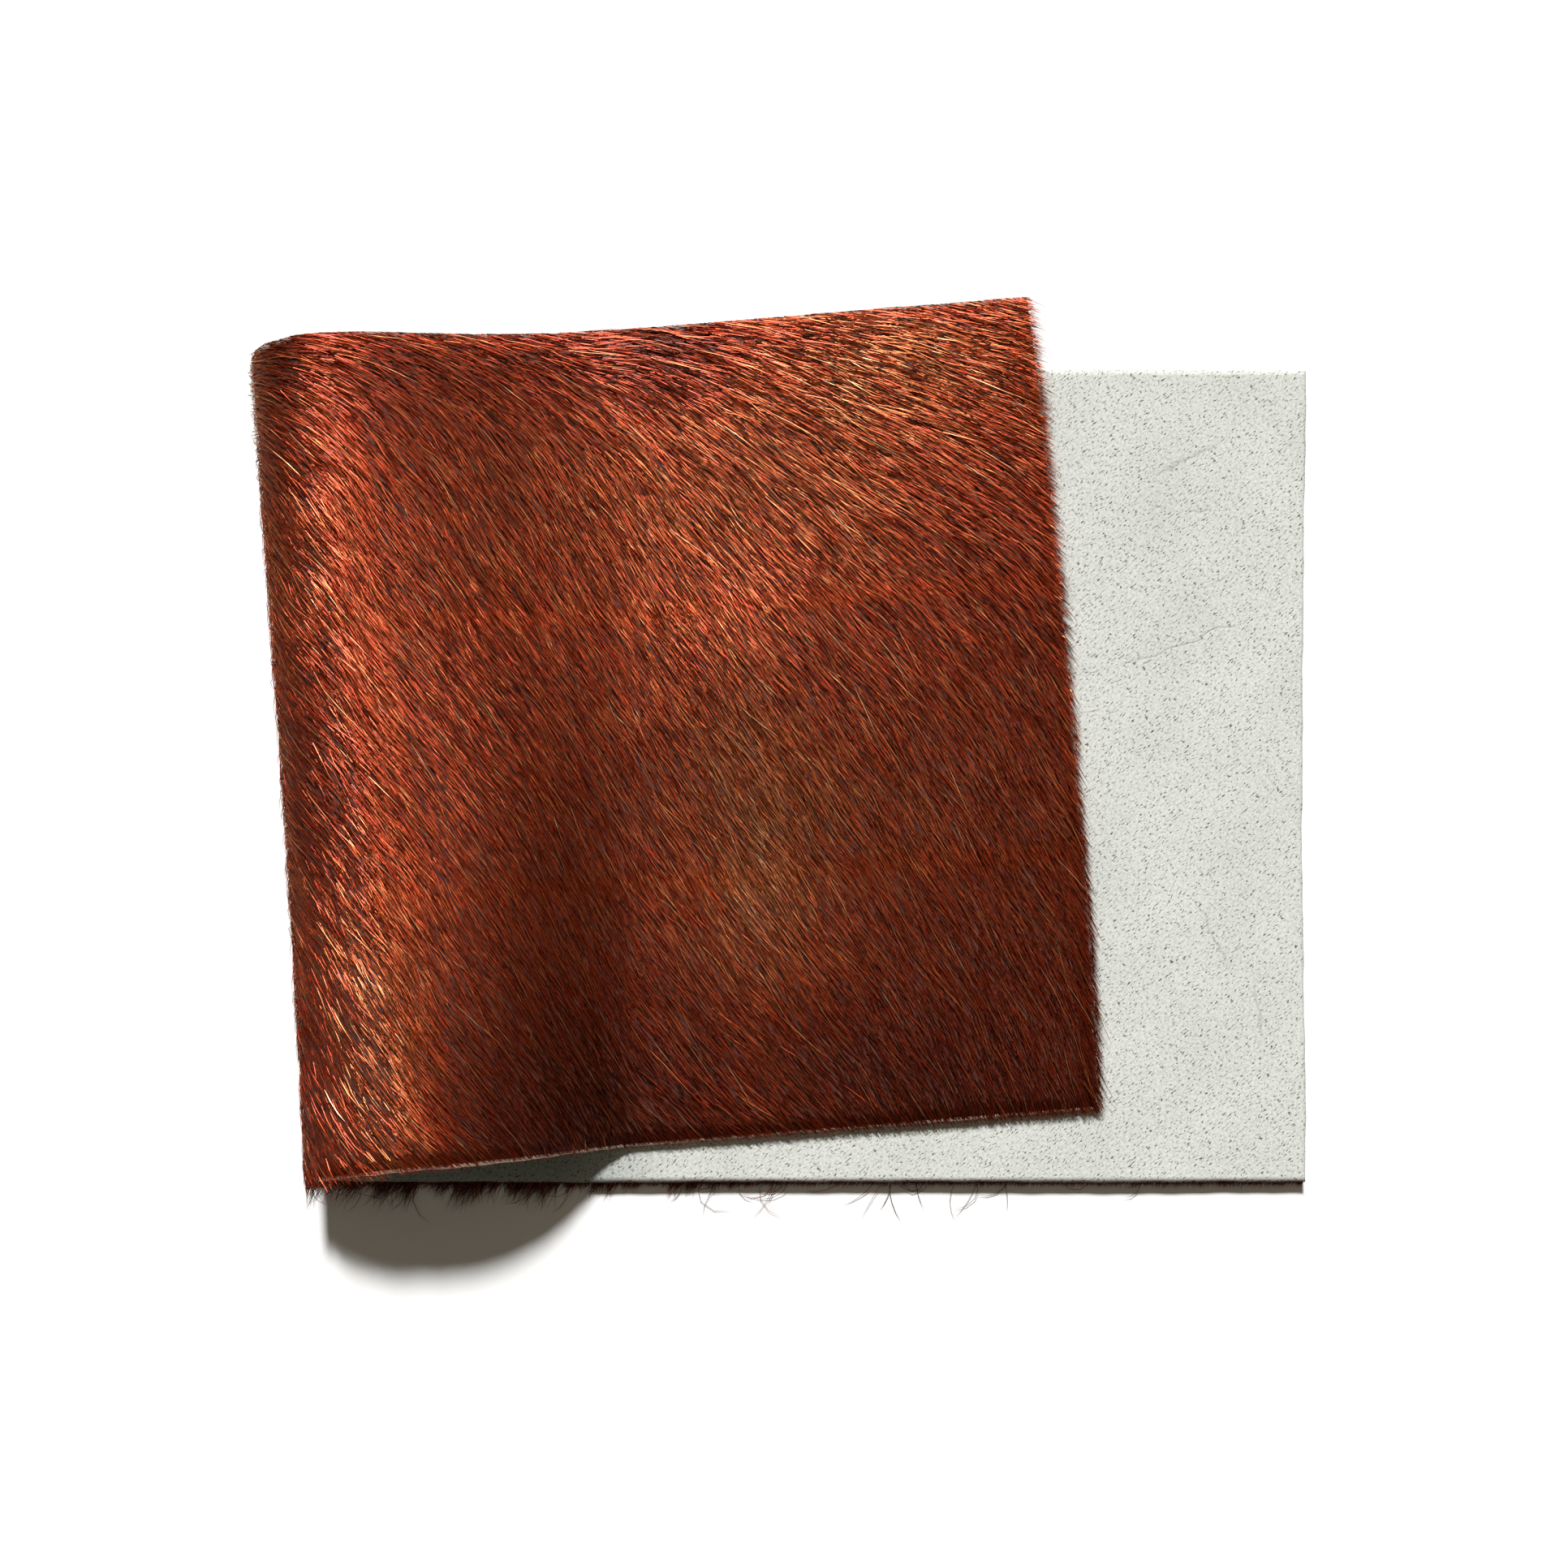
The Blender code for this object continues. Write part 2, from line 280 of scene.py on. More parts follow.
    def at(self, progress: Array, share: Array) -> Sample:
        """Reads the surface, and carries it on flat past the cut edges.

        The table is read by weighting its four nearest entries. Past an edge the point goes on along
        the slopes that the surface has there.

        Args:
            progress: places along, which may be outside 0 to 1.
            share: places across, which may be outside 0 to 1.

        Returns:
            The surface there.
        """
        inside = np.clip(progress, 0.0, 1.0), np.clip(share, 0.0, 1.0)
        x, y = inside[0] * (self.columns - 1), inside[1] * (self.rows - 1)
        i = np.minimum(x.astype(int), self.columns - 2)
        j = np.minimum(y.astype(int), self.rows - 2)
        dx, dy = (x - i)[..., None], (y - j)[..., None]
        near = self.table[j, i] * (1 - dx) + self.table[j, i + 1] * dx
        far = self.table[j + 1, i] * (1 - dx) + self.table[j + 1, i + 1] * dx
        value = near * (1 - dy) + far * dy
        point, by_progress, by_share = value[..., :3], value[..., 3:6], value[..., 6:]
        point = point + by_progress * (progress - inside[0])[..., None]
        point = point + by_share * (share - inside[1])[..., None]
        along = unit(by_progress)
        out = unit(np.cross(by_progress, by_share))
        return Sample(point, by_progress, by_share, along, np.cross(along, out), out)

    def walk(self, here: Sample, move: Array) -> tuple[Array, Array]:
        """How far progress and share change when a point moves over the surface.

        The move is written in the surface's two slopes by solving a two by two system.

        Args:
            here: the surface where the move starts.
            move: a vector in the surface, in metres.

        Returns:
            The changes of progress and share.
        """
        pp = dot(here.by_progress, here.by_progress)
        ps = dot(here.by_progress, here.by_share)
        ss = dot(here.by_share, here.by_share)
        mp, ms = dot(move, here.by_progress), dot(move, here.by_share)
        scale = pp * ss - ps * ps
        return (ss * mp - ps * ms) / scale, (pp * ms - ps * mp) / scale


class Paint:
    """A material with a Principled shader, and short ways to add nodes to it."""

    def __init__(self, name: str, roughness: float) -> None:
        """Makes the material.

        Args:
            name: the material's name.
            roughness: the shader's roughness.
        """
        self.material = bpy.data.materials.new(name)
        self.material.use_nodes = True
        self.tree = self.material.node_tree
        self.shader = self.tree.nodes["Principled BSDF"]
        self.shader.inputs["Roughness"].default_value = roughness

    def add(self, kind: str, inputs: dict | None = None, **settings: object) -> bpy.types.Node:
        """Adds a node.

        Args:
            kind: the node's type, without the ShaderNode that it starts with.
            inputs: values of its sockets, or the sockets that feed them.
            settings: its own properties.

        Returns:
            The node.
        """
        node = self.tree.nodes.new("ShaderNode" + kind)
        for name, value in settings.items():
            setattr(node, name, value)
        for name, value in (inputs or {}).items():
            self.feed(node.inputs[name], value)
        return node

    def feed(self, socket: Socket, value: object) -> None:
        """Sets a socket to a value, or links it to another socket.

        Args:
            socket: the socket.
            value: a value, or the socket that feeds it.
        """
        if isinstance(value, Socket):
            self.tree.links.new(value, socket)
        else:
            socket.default_value = value

    def ramp(self, factor: object, stops: tuple) -> Socket:
        """A colour ramp.

        Args:
            factor: what it is read at.
            stops: pairs of a place and a colour.

        Returns:
            Its colour.
        """
        node = self.add("ValToRGB", {"Fac": factor})
        elements = node.color_ramp.elements
        for index, (place, colour) in enumerate(stops):
            element = elements[index] if index < len(elements) else elements.new(place)
            element.position = place
            element.color = (*colour, 1.0)
        return node.outputs["Color"]

    def grey(self, factor: object, stops: tuple) -> Socket:
        """A ramp of plain values."""
        return self.ramp(factor, tuple((place, (value,) * 3) for place, value in stops))

    def noise(self, vector: object, scale: float, detail: float = 2.0) -> Socket:
        """A cloudy pattern from 0 to 1."""
        node = self.add("TexNoise", {"Vector": vector, "Scale": scale, "Detail": detail})
        return node.outputs["Fac"]

    def mix(self, factor: object, first: object, second: object, way: str = "MIX") -> Socket:
        """Two colours mixed.

        Args:
            factor: the second one's share.
            first, second: the colours, as values or sockets.
            way: how they are mixed.

        Returns:
            The result.
        """
        node = self.add("Mix", data_type="RGBA", blend_type=way)
        self.feed(node.inputs[0], factor)
        for index, colour in ((6, first), (7, second)):
            self.feed(node.inputs[index], colour if isinstance(colour, Socket) else (*colour, 1.0))
        return node.outputs[2]

    def place(self, vector: object, **settings: tuple[float, float, float]) -> Socket:
        """Places turned, scaled or moved."""
        return self.add("Mapping", {"Vector": vector, **settings}).outputs["Vector"]

    def layout(self, name: str) -> Socket:
        """The piece's own layout of that name."""
        return self.add("UVMap", uv_map=name).outputs["UV"]


@dataclass(frozen=True)
class HairFinish:
    """Glossy red-brown hair: tone across the layout picks the colour, and painted shade darkens it from tip
    to root.
    """

    name: str = "red_brown_hair"
    black: Colour = (0.068, 0.005, 0.001)
    dark: Colour = (0.21, 0.017, 0.001)
    red: Colour = (0.54, 0.043, 0.003)
    tan: Colour = (0.58, 0.165, 0.04)
    cream: Colour = (0.82, 0.47, 0.23)
    places: tuple[float, ...] = (0.0, 0.22, 0.45, 0.72, 1.0)  # the tones at which they stand
    roughness: float = 0.44
    gloss: float = 0.95  # how much of the light the hair returns as a tinted sheen along its sides
    specular: float = 1.0
    glare: Colour = (1.0, 0.75, 0.3)
    outer: float = 0.42  # a paler sheen from the hairs' very surface, and how rough that is
    outer_roughness: float = 0.36
    # painted shade: each hair is darkest at its root, deep in the coat, and lightens to its tip
    depth: tuple[tuple[float, float], ...] = ((0.0, 0.3), (0.3, 0.8), (0.75, 1.0), (1.0, 1.1))
    glint_scale: tuple[float, float, float] = (70.0, 5.5, 1.0)
    glints: tuple[tuple[float, float], ...] = ((0.36, 0.32), (0.5, 0.95), (0.64, 1.25))

    def make(self) -> bpy.types.Material:
        """Colour by tone, times a painted shade that lifts from root to tip, times fine bands of glints.

        Returns:
            The material.
        """
        paint = Paint(self.name, self.roughness)
        layout = paint.layout(BAKE_UV)
        split = paint.add("SeparateXYZ", {"Vector": layout})
        tone, reach = split.outputs["X"], split.outputs["Y"]
        colours = (self.black, self.dark, self.red, self.tan, self.cream)
        colour = paint.ramp(tone, tuple(zip(self.places, colours)))
        # painted shade towards the root
        shade = paint.grey(reach, self.depth)
        drawn = paint.place(layout, Scale=self.glint_scale)
        bands = paint.grey(paint.noise(drawn, 1.0), self.glints)
        colour = paint.mix(1.0, colour, shade, "MULTIPLY")
        colour = paint.mix(1.0, colour, bands, "MULTIPLY")
        paint.feed(paint.shader.inputs["Base Color"], colour)
        paint.shader.inputs["Metallic"].default_value = self.gloss
        paint.shader.inputs["Specular IOR Level"].default_value = self.specular
        paint.shader.inputs["Specular Tint"].default_value = (*self.glare, 1.0)
        paint.shader.inputs["Coat Weight"].default_value = self.outer
        paint.shader.inputs["Coat Roughness"].default_value = self.outer_roughness
        return paint.material


@dataclass(frozen=True)
class ShadedUndercoatFinish:
    """The dark, streaky depth between the hairs, painted as the shade deep in the coat."""

    name: str = "undercoat"
    # painted shade: both colours are far darker than the hair, as the coat looks deep in its own shade
    dark: Colour = (0.030, 0.006, 0.002)
    warm: Colour = (0.13, 0.024, 0.007)
    streak: tuple[float, float, float] = (260.0, 2600.0, 1.0)
    lie: float = math.radians(-58.0)
    roughness: float = 0.6

    def make(self) -> bpy.types.Material:
        """A cloudy pattern, turned to the hair's lie and drawn out along it.

        Returns:
            The material.
        """
        paint = Paint(self.name, self.roughness)
        strip = paint.layout(STRIP_UV)
        turned = paint.place(strip, Rotation=(0.0, 0.0, -self.lie))
        streaks = paint.noise(paint.place(turned, Scale=self.streak), 1.0, 3.0)
        colour = paint.ramp(streaks, ((0.35, self.dark), (0.7, self.warm)))
        paint.feed(paint.shader.inputs["Base Color"], colour)
        bump = paint.add("Bump", {"Height": streaks, "Strength": 0.6, "Distance": 0.3 * MM})
        paint.feed(paint.shader.inputs["Normal"], bump.outputs["Normal"])
        return paint.material


class Crease(NamedTuple):
    """A faint crease in the flesh side, between two places given along and across, in metres."""

    start: tuple[float, float]
    end: tuple[float, float]
    width: float


@dataclass(frozen=True)
class SuedeFinish:
    """The flesh side: pale suede with a short nap of fine dashes, and a paler, fibrous cut."""

    name: str = "pale_suede"
    pale: Colour = (0.70, 0.715, 0.675)
    cool: Colour = (0.635, 0.655, 0.615)
    dash: Colour = (0.11, 0.10, 0.06)
    speck: Colour = (0.13, 0.09, 0.06)
    cut: Colour = (0.8, 0.58, 0.46)
    # painted shade laid along the creases
    crease: Colour = (0.36, 0.35, 0.28)
    inner: Colour = (0.50, 0.53, 0.52)  # painted shade: what the fold's inside keeps of the colour, where little light reaches
    painted_shade_from: tuple[float, float] = (0.158, 0.186)
    cloud_scale: float = 45.0
    nap: tuple[float, float, float] = (950.0, 2700.0, 1.0)
    lie: float = math.radians(-40.0)
    dashes: tuple[tuple[float, float], ...] = ((0.37, 1.0), (0.43, 0.0))
    patchy_scale: float = 420.0  # where dashes crowd and thin out, and by how much
    patchy: float = 0.15
    grain_scale: float = 1500.0
    grain: tuple[tuple[float, float], ...] = ((0.36, 0.80), (0.6, 1.0))
    speck_scale: float = 0.42
    waver_scale: float = 160.0  # how the creases waver, and by how much
    waver: float = 0.0022
    # how dark the painted shade along the creases gets
    crease_shade_strength: float = 0.42
    nap_height: float = 0.12 * MM
    crease_height: float = 0.1 * MM
    fibre_scale: float = 2400.0
    specular: float = 0.15
    roughness: float = 0.9
    creases: tuple[Crease, ...] = (
        Crease((38.9 * MM, 175.7 * MM), (21.0 * MM, 184.9 * MM), 0.9 * MM),
        Crease((30.8 * MM, 167.4 * MM), (22.5 * MM, 168.0 * MM), 0.7 * MM),
        Crease((46.0 * MM, 128.0 * MM), (14.0 * MM, 141.0 * MM), 0.6 * MM),
        Crease((13.0 * MM, 52.1 * MM), (10.0 * MM, 33.4 * MM), 0.8 * MM),
        Crease((29.0 * MM, 74.0 * MM), (17.0 * MM, 50.0 * MM), 0.6 * MM),
    )

    def make(self) -> bpy.types.Material:
        """Clouded suede with dashes and specks, painted shade along the creases and inside the fold, and a
        fibrous cut.

        Returns:
            The material.
        """
        paint = Paint(self.name, self.roughness)
        strip = paint.layout(STRIP_UV)
        turned = paint.place(strip, Rotation=(0.0, 0.0, -self.lie))
        drawn = paint.place(turned, Scale=self.nap)
        nap = paint.mix(self.patchy, paint.noise(drawn, 1.0, 3.0), paint.noise(strip, self.patchy_scale))
        troughs = self._troughs(paint, strip)
        colour = self._ground(paint, strip, turned)
        colour = paint.mix(paint.grey(nap, self.dashes), colour, self.dash)
        colour = paint.mix(self._specks(paint, strip, drawn), colour, self.speck)
        # painted shade: the fold's inside is darkened
        colour = paint.mix(1.0, colour, self._painted_shade_inside(paint, strip), "MULTIPLY")
        # painted shade along the creases
        strength = paint.mix(1.0, troughs, (self.crease_shade_strength,) * 3, "MULTIPLY")
        colour = paint.mix(strength, colour, self.crease)
        cut = paint.add("Attribute", attribute_name="cut").outputs["Fac"]
        fibres = paint.grey(paint.noise(strip, self.fibre_scale), ((0.3, 0.75), (0.7, 1.0)))
        colour = paint.mix(cut, colour, paint.mix(1.0, self.cut, fibres, "MULTIPLY"))
        paint.feed(paint.shader.inputs["Base Color"], colour)
        bump = paint.add("Bump", {"Height": nap, "Strength": 0.5, "Distance": self.nap_height})
        inputs = {"Height": troughs, "Normal": bump.outputs["Normal"], "Distance": self.crease_height}
        trough = paint.add("Bump", inputs, invert=True)
        paint.feed(paint.shader.inputs["Normal"], trough.outputs["Normal"])
        paint.shader.inputs["Specular IOR Level"].default_value = self.specular
        return paint.material

    def _ground(self, paint: Paint, strip: Socket, turned: Socket) -> Socket:
        """Soft clouds of the two pale colours, darkened by a fine grain.

        Args:
            paint: the material.
            strip: places in metres along and across.
            turned: the same, turned to the nap's lie.

        Returns:
            The colour.
        """
        clouds = paint.ramp(paint.noise(strip, self.cloud_scale, 3.0), ((0.3, self.cool), (0.7, self.pale)))
        grain = paint.grey(paint.noise(turned, self.grain_scale), self.grain)
        return paint.mix(1.0, clouds, grain, "MULTIPLY")

    def _specks(self, paint: Paint, strip: Socket, drawn: Socket) -> Socket:
        """The middles of drawn-out cells, in patches only.

        Args:
            paint: the material.
            strip: places in metres along and across.
            drawn: places turned and drawn out as the nap is.

        Returns:
            How much of the speck's colour shows, from 0 to 1.
        """
        cells = paint.add("TexVoronoi", {"Vector": drawn, "Scale": self.speck_scale})
        specks = paint.grey(cells.outputs["Distance"], ((0.10, 0.7), (0.2, 0.0)))
        patches = paint.grey(paint.noise(strip, 260.0), ((0.55, 0.0), (0.7, 1.0)))
        return paint.mix(1.0, specks, patches, "MULTIPLY")

    def _painted_shade_inside(self, paint: Paint, strip: Socket) -> Socket:
        """Painted shade inside the fold: white up to the fold, and from there on what its inside keeps of
        the colour.
        """
        along = paint.add("SeparateXYZ", {"Vector": strip}).outputs["X"]
        return paint.ramp(along, ((self.painted_shade_from[0], (1.0, 1.0, 1.0)), (self.painted_shade_from[1], self.inner)))

    def _troughs(self, paint: Paint, strip: Socket) -> Socket:
        """All creases together, along slightly wavering lines.

        Args:
            paint: the material.
            strip: places in metres along and across.

        Returns:
            How deep they are at each place.
        """
        wavy = paint.add("TexNoise", {"Vector": strip, "Scale": self.waver_scale}).outputs["Color"]
        place = paint.mix(self.waver, strip, wavy, "LINEAR_LIGHT")
        troughs = self._crease(paint, place, self.creases[0])
        for crease in self.creases[1:]:
            troughs = paint.mix(1.0, troughs, self._crease(paint, place, crease), "ADD")
        return troughs

    def _crease(self, paint: Paint, place: Socket, crease: Crease) -> Socket:
        """How deep a crease is at each place, from 0 to 1.

        The place is turned so that the crease runs along its first axis from 0 to 1, with its width
        as one unit of the second. It fades with the distance from that line and towards both ends.

        Args:
            paint: the material.
            place: the place, in metres along and across.
            crease: the crease.

        Returns:
            The depth.
        """
        run = crease.end[0] - crease.start[0], crease.end[1] - crease.start[1]
        settings = {
            "Vector": place,
            "Location": (*crease.start, 0.0),
            "Rotation": (0.0, 0.0, math.atan2(run[1], run[0])),
            "Scale": (math.hypot(*run), crease.width, 1.0),
        }
        turned = paint.add("Mapping", settings, vector_type="TEXTURE")
        split = paint.add("SeparateXYZ", {"Vector": turned.outputs["Vector"]})
        away = paint.add("Math", {0: split.outputs["Y"]}, operation="ABSOLUTE").outputs["Value"]
        near = paint.grey(away, ((0.0, 1.0), (0.35, 0.5), (1.0, 0.0)))
        ends = paint.grey(split.outputs["X"], ((0.0, 0.0), (0.25, 1.0), (0.75, 1.0), (1.0, 0.0)))
        return paint.mix(1.0, near, ends, "MULTIPLY")


@dataclass(frozen=True)
class FloorFinish:
    """The white surface that it lies on, with the faintest unevenness."""

    name: str = "white_surface"
    white: Colour = (0.90, 0.90, 0.90)
    faint: Colour = (0.88, 0.88, 0.88)
    roughness: float = 0.85

    def make(self) -> bpy.types.Material:
        """Wide clouds of the two whites.

        Returns:
            The material.
        """
        paint = Paint(self.name, self.roughness)
        clouds = paint.noise(paint.add("TexCoord").outputs["Object"], 6.0)
        colour = paint.ramp(clouds, ((0.3, self.faint), (0.7, self.white)))
        paint.feed(paint.shader.inputs["Base Color"], colour)
        paint.shader.inputs["Specular IOR Level"].default_value = 0.1
        return paint.material


def make_piece(
    name: str,
    points: Array,
    faces: Array,
    layouts: dict[str, Array],
    material: bpy.types.Material,
    rounded: bool = True,
) -> bpy.types.Object:
    """Puts arrays into a mesh object that rides on the part's only body.

    Args:
        name: the piece's name.
        points: its vertices.
        faces: vertex numbers, a row of three or four for each face.
        layouts: for each layout's name, its place at every corner of every face.
        material: its finish.
        rounded: whether its faces are shaded as one round surface.

    Returns:
        The object.
    """
    mesh = bpy.data.meshes.new(name)
    sides = faces.shape[1]
    mesh.vertices.add(len(points))
    mesh.vertices.foreach_set("co", np.ascontiguousarray(points, dtype=np.float32).ravel())
    mesh.loops.add(faces.size)
    mesh.loops.foreach_set("vertex_index", np.ascontiguousarray(faces, dtype=np.int32).ravel())
    mesh.polygons.add(len(faces))
    starts = np.arange(0, faces.size, sides, dtype=np.int32)
    mesh.polygons.foreach_set("loop_start", starts)
    mesh.update(calc_edges=True)
    for key, places in layouts.items():
        layer = mesh.uv_layers.new(name=key)
        layer.uv.foreach_set("vector", np.ascontiguousarray(places, dtype=np.float32).ravel())
    mesh.polygons.foreach_set("use_smooth", np.full(len(faces), rounded))
    mesh.materials.append(material)
    obj = bpy.data.objects.new(name, mesh)
    bpy.context.scene.collection.objects.link(obj)
    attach(obj, "root")
    LOG.info("%s: %d triangles", name, len(faces) * (sides - 2))
    return obj


class SheetGrid:
    """A closed sheet between two grids of points, rows across by columns along."""

    def __init__(self, inner: Array, outer: Array, progress: Array, share: Array, strip: Strip) -> None:
        """Joins the two grids by their four rims.

        Args:
            inner: points of the side that faces against the strip's outward direction.
            outer: points of the other side.
            progress: the place along of each point of the grids.
            share: the place across of each point of the grids.
            strip: the strip that it lies on, for its size.
        """
        rows, columns = inner.shape[:2]
        number = np.arange(rows * columns).reshape(rows, columns)
        above = number + rows * columns
        self.points = np.concatenate([inner.reshape(-1, 3), outer.reshape(-1, 3)])
        faces = [
            self._quads(above[:-1, :-1], above[:-1, 1:], above[1:, 1:], above[1:, :-1]),
            self._quads(number[:-1, :-1], number[1:, :-1], number[1:, 1:], number[:-1, 1:]),
            self._quads(number[0, :-1], number[0, 1:], above[0, 1:], above[0, :-1]),
            self._quads(above[-1, :-1], above[-1, 1:], number[-1, 1:], number[-1, :-1]),
            self._quads(number[1:, 0], number[:-1, 0], above[:-1, 0], above[1:, 0]),
            self._quads(number[:-1, -1], number[1:, -1], above[1:, -1], above[:-1, -1]),
        ]
        self.faces = np.concatenate(faces)
        self.rim = np.concatenate([np.zeros(sum(map(len, faces[:2]))), np.ones(sum(map(len, faces[2:])))])
        self.progress = np.concatenate([progress.ravel(), progress.ravel()])
        self.share = np.concatenate([share.ravel(), share.ravel()])
        self.upper = np.concatenate([np.zeros(rows * columns), np.ones(rows * columns)])
        self.band = np.concatenate([np.full(len(f), index) for index, f in enumerate(faces)])
        self.strip = strip

    @staticmethod
    def _quads(a: Array, b: Array, c: Array, d: Array) -> Array:
        """Faces of four corners from four arrays of vertex numbers."""
        return np.stack([a.ravel(), b.ravel(), c.ravel(), d.ravel()], axis=-1)

    def layouts(self) -> dict[str, Array]:
        """The strip's own metres, and a layout for baking in which no two faces lie on each other.

        For baking, the outer side fills the upper half, the inner side the lower half, and each rim
        has a thin band of its own at the top.

        Returns:
            A place at every corner of every face, for each layout's name.
        """
        corner = self.faces.ravel()
        band = np.repeat(self.band, 4)
        progress, share = self.progress[corner], self.share[corner]
        metres = np.stack([progress * self.strip.length, share * self.strip.width], axis=-1)
        rim_from, rim_step, rim_height = 0.95, 0.012, 0.008
        start = np.select([band == 0, band == 1], [0.48, 0.01], rim_from + rim_step * (band - 2))
        height = np.select([band <= 1], [0.45], rim_height)
        climb = np.where(band <= 1, share, self.upper[corner])
        run = np.where(band >= 4, share, progress)
        run, climb = np.clip(run, 0.0, 1.0), np.clip(climb, 0.0, 1.0)
        baked = np.stack([0.005 + 0.99 * run, start + height * climb], axis=-1)
        return {BAKE_UV: baked, STRIP_UV: metres}


@dataclass
class Skin:
    """The skin: one closed sheet with a slanted, slightly ragged cut."""

    strip: Strip
    finish: SuedeFinish = SuedeFinish()
    fine_step: float = 1.0 * MM
    middle_step: float = 1.5 * MM
    coarse_step: float = 2.4 * MM
    across_step: float = 1.6 * MM
    fine_to: float = 48.0 * MM
    middle_to: float = 80.0 * MM
    slant: float = 0.35 * MM  # the cut leans in by this much between the flesh side and the hair side
    lip: float = 0.45 * MM  # how far the upper layer's front edge curls up
    ragged: float = 0.12 * MM
    unevenness: float = 0.10 * MM

    def lines(self) -> tuple[Array, Array]:
        """The mesh's lines, closest where the flesh side shows.

        Returns:
            Progress of the lines that run across and share of those that run along.
        """
        length, width = self.strip.length, self.strip.width
        fine = np.arange(0.0, self.fine_to, self.fine_step)
        middle = np.arange(self.fine_to, self.middle_to, self.middle_step)
        coarse = np.linspace(self.middle_to, length, round((length - self.middle_to) / self.coarse_step))
        share = np.linspace(0.0, 1.0, round(width / self.across_step))
        return np.concatenate([fine, middle, coarse]) / length, share

    def relief(self, progress: Array, share: Array) -> Array:
        """How far the sheet stands off its even form.

        Long low waves, the product of two sines, and a front edge that curls up past the crest.

        Args:
            progress, share: places on the strip.

        Returns:
            Distances towards the hair side.
        """
        along, across = progress * self.strip.length, share * self.strip.width
        waves = np.sin(along / (17.0 * MM) + 0.6) * np.sin(across / (21.0 * MM) + 0.3)
        waves = waves + 0.6 * np.sin(along / (7.3 * MM) + across / (11.0 * MM))
        waist, crest = self.strip.mark(Mark.WAIST, share), self.strip.mark(Mark.CREST, share)
        past = smooth((progress - waist) / (crest - waist))
        return self.unevenness * waves + self.lip * past * np.exp(-((across / (1.1 * MM)) ** 2))

    def build(self) -> bpy.types.Object:
        """The sheet.

        Both sides are the strip moved along its outward direction. On the hair side the outermost
        lines are drawn in by the cut's slant, and both sides' edges waver by a sum of sines.

        Returns:
            The object.
        """
        progress_line, share_line = self.lines()
        progress, share = np.meshgrid(progress_line, share_line)
        along, across = progress * self.strip.length, share * self.strip.width
        waver_share = np.sin(along / (1.9 * MM)) * np.sin(along / (5.3 * MM) + 1.0)
        waver_progress = np.sin(across / (2.1 * MM)) * np.sin(across / (6.1 * MM) + 2.0)
        slow_share = 1.2 + 1.2 * np.sin(along / (13.0 * MM) + 0.8) * np.sin(along / (37.0 * MM))
        slow_progress = 1.4 + 1.4 * np.sin(across / (9.0 * MM) + 2.1) * np.sin(across / (23.0 * MM) + 0.5)
        edge_share = self.ragged * (1.0 + waver_share + slow_share) / self.strip.width
        edge_progress = self.ragged * (1.0 + waver_progress + slow_progress) / self.strip.length
        sides = []
        for slant in (0.0, self.slant):
            p, s = progress.copy(), share.copy()
            s[0] += edge_share[0] + slant / self.strip.width
            s[-1] -= edge_share[-1] + 0.3 * slant / self.strip.width
            p[:, 0] += edge_progress[:, 0] + 0.3 * slant / self.strip.length
            p[:, -1] -= edge_progress[:, -1] + slant / self.strip.length
            here = self.strip.at(p, s)
            lift = self.relief(p, s) + (self.strip.leather if slant else 0.0)
            sides.append(here.point + here.out * lift[..., None])
        grid = SheetGrid(sides[0], sides[1], progress, share, self.strip)
        bare = (grid.band == 0) & (grid.share[grid.faces].max(axis=1) < 1.01 * share_line[1])
        piece = make_piece("skin", grid.points, grid.faces, grid.layouts(), self.finish.make())
        cut = piece.data.attributes.new("cut", "FLOAT", "CORNER")
        cut.data.foreach_set("value", np.repeat(np.maximum(grid.rim, bare), 4).astype(np.float32))
        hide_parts("leather")
        return piece


class Patch(NamedTuple):
    """A place where the coat differs by an amount: where it is and how far it reaches, in millimetres."""

    from_crest: float
    from_front: float
    along: float
    across: float
    amount: float


def spread(patches: tuple[Patch, ...], strip: Strip, progress: Array, share: Array) -> Array:
    """What some patches add up to.

    Each falls off with the exponential of less the squared distance from its middle, which is
    counted in its own reach along the strip and across it.

    Args:
        patches: the patches.
        strip: the strip that they lie on.
        progress, share: places on the strip.

    Returns:
        The sum at each place.
    """
    from_crest = (progress - strip.mark(Mark.CREST, share)) * strip.length / MM
    from_front = share * strip.width / MM
    total = np.zeros_like(progress)
    for patch in patches:
        away = ((from_crest - patch.from_crest) / patch.along) ** 2
        away = away + ((from_front - patch.from_front) / patch.across) ** 2
        total = total + patch.amount * np.exp(-away)
    return total


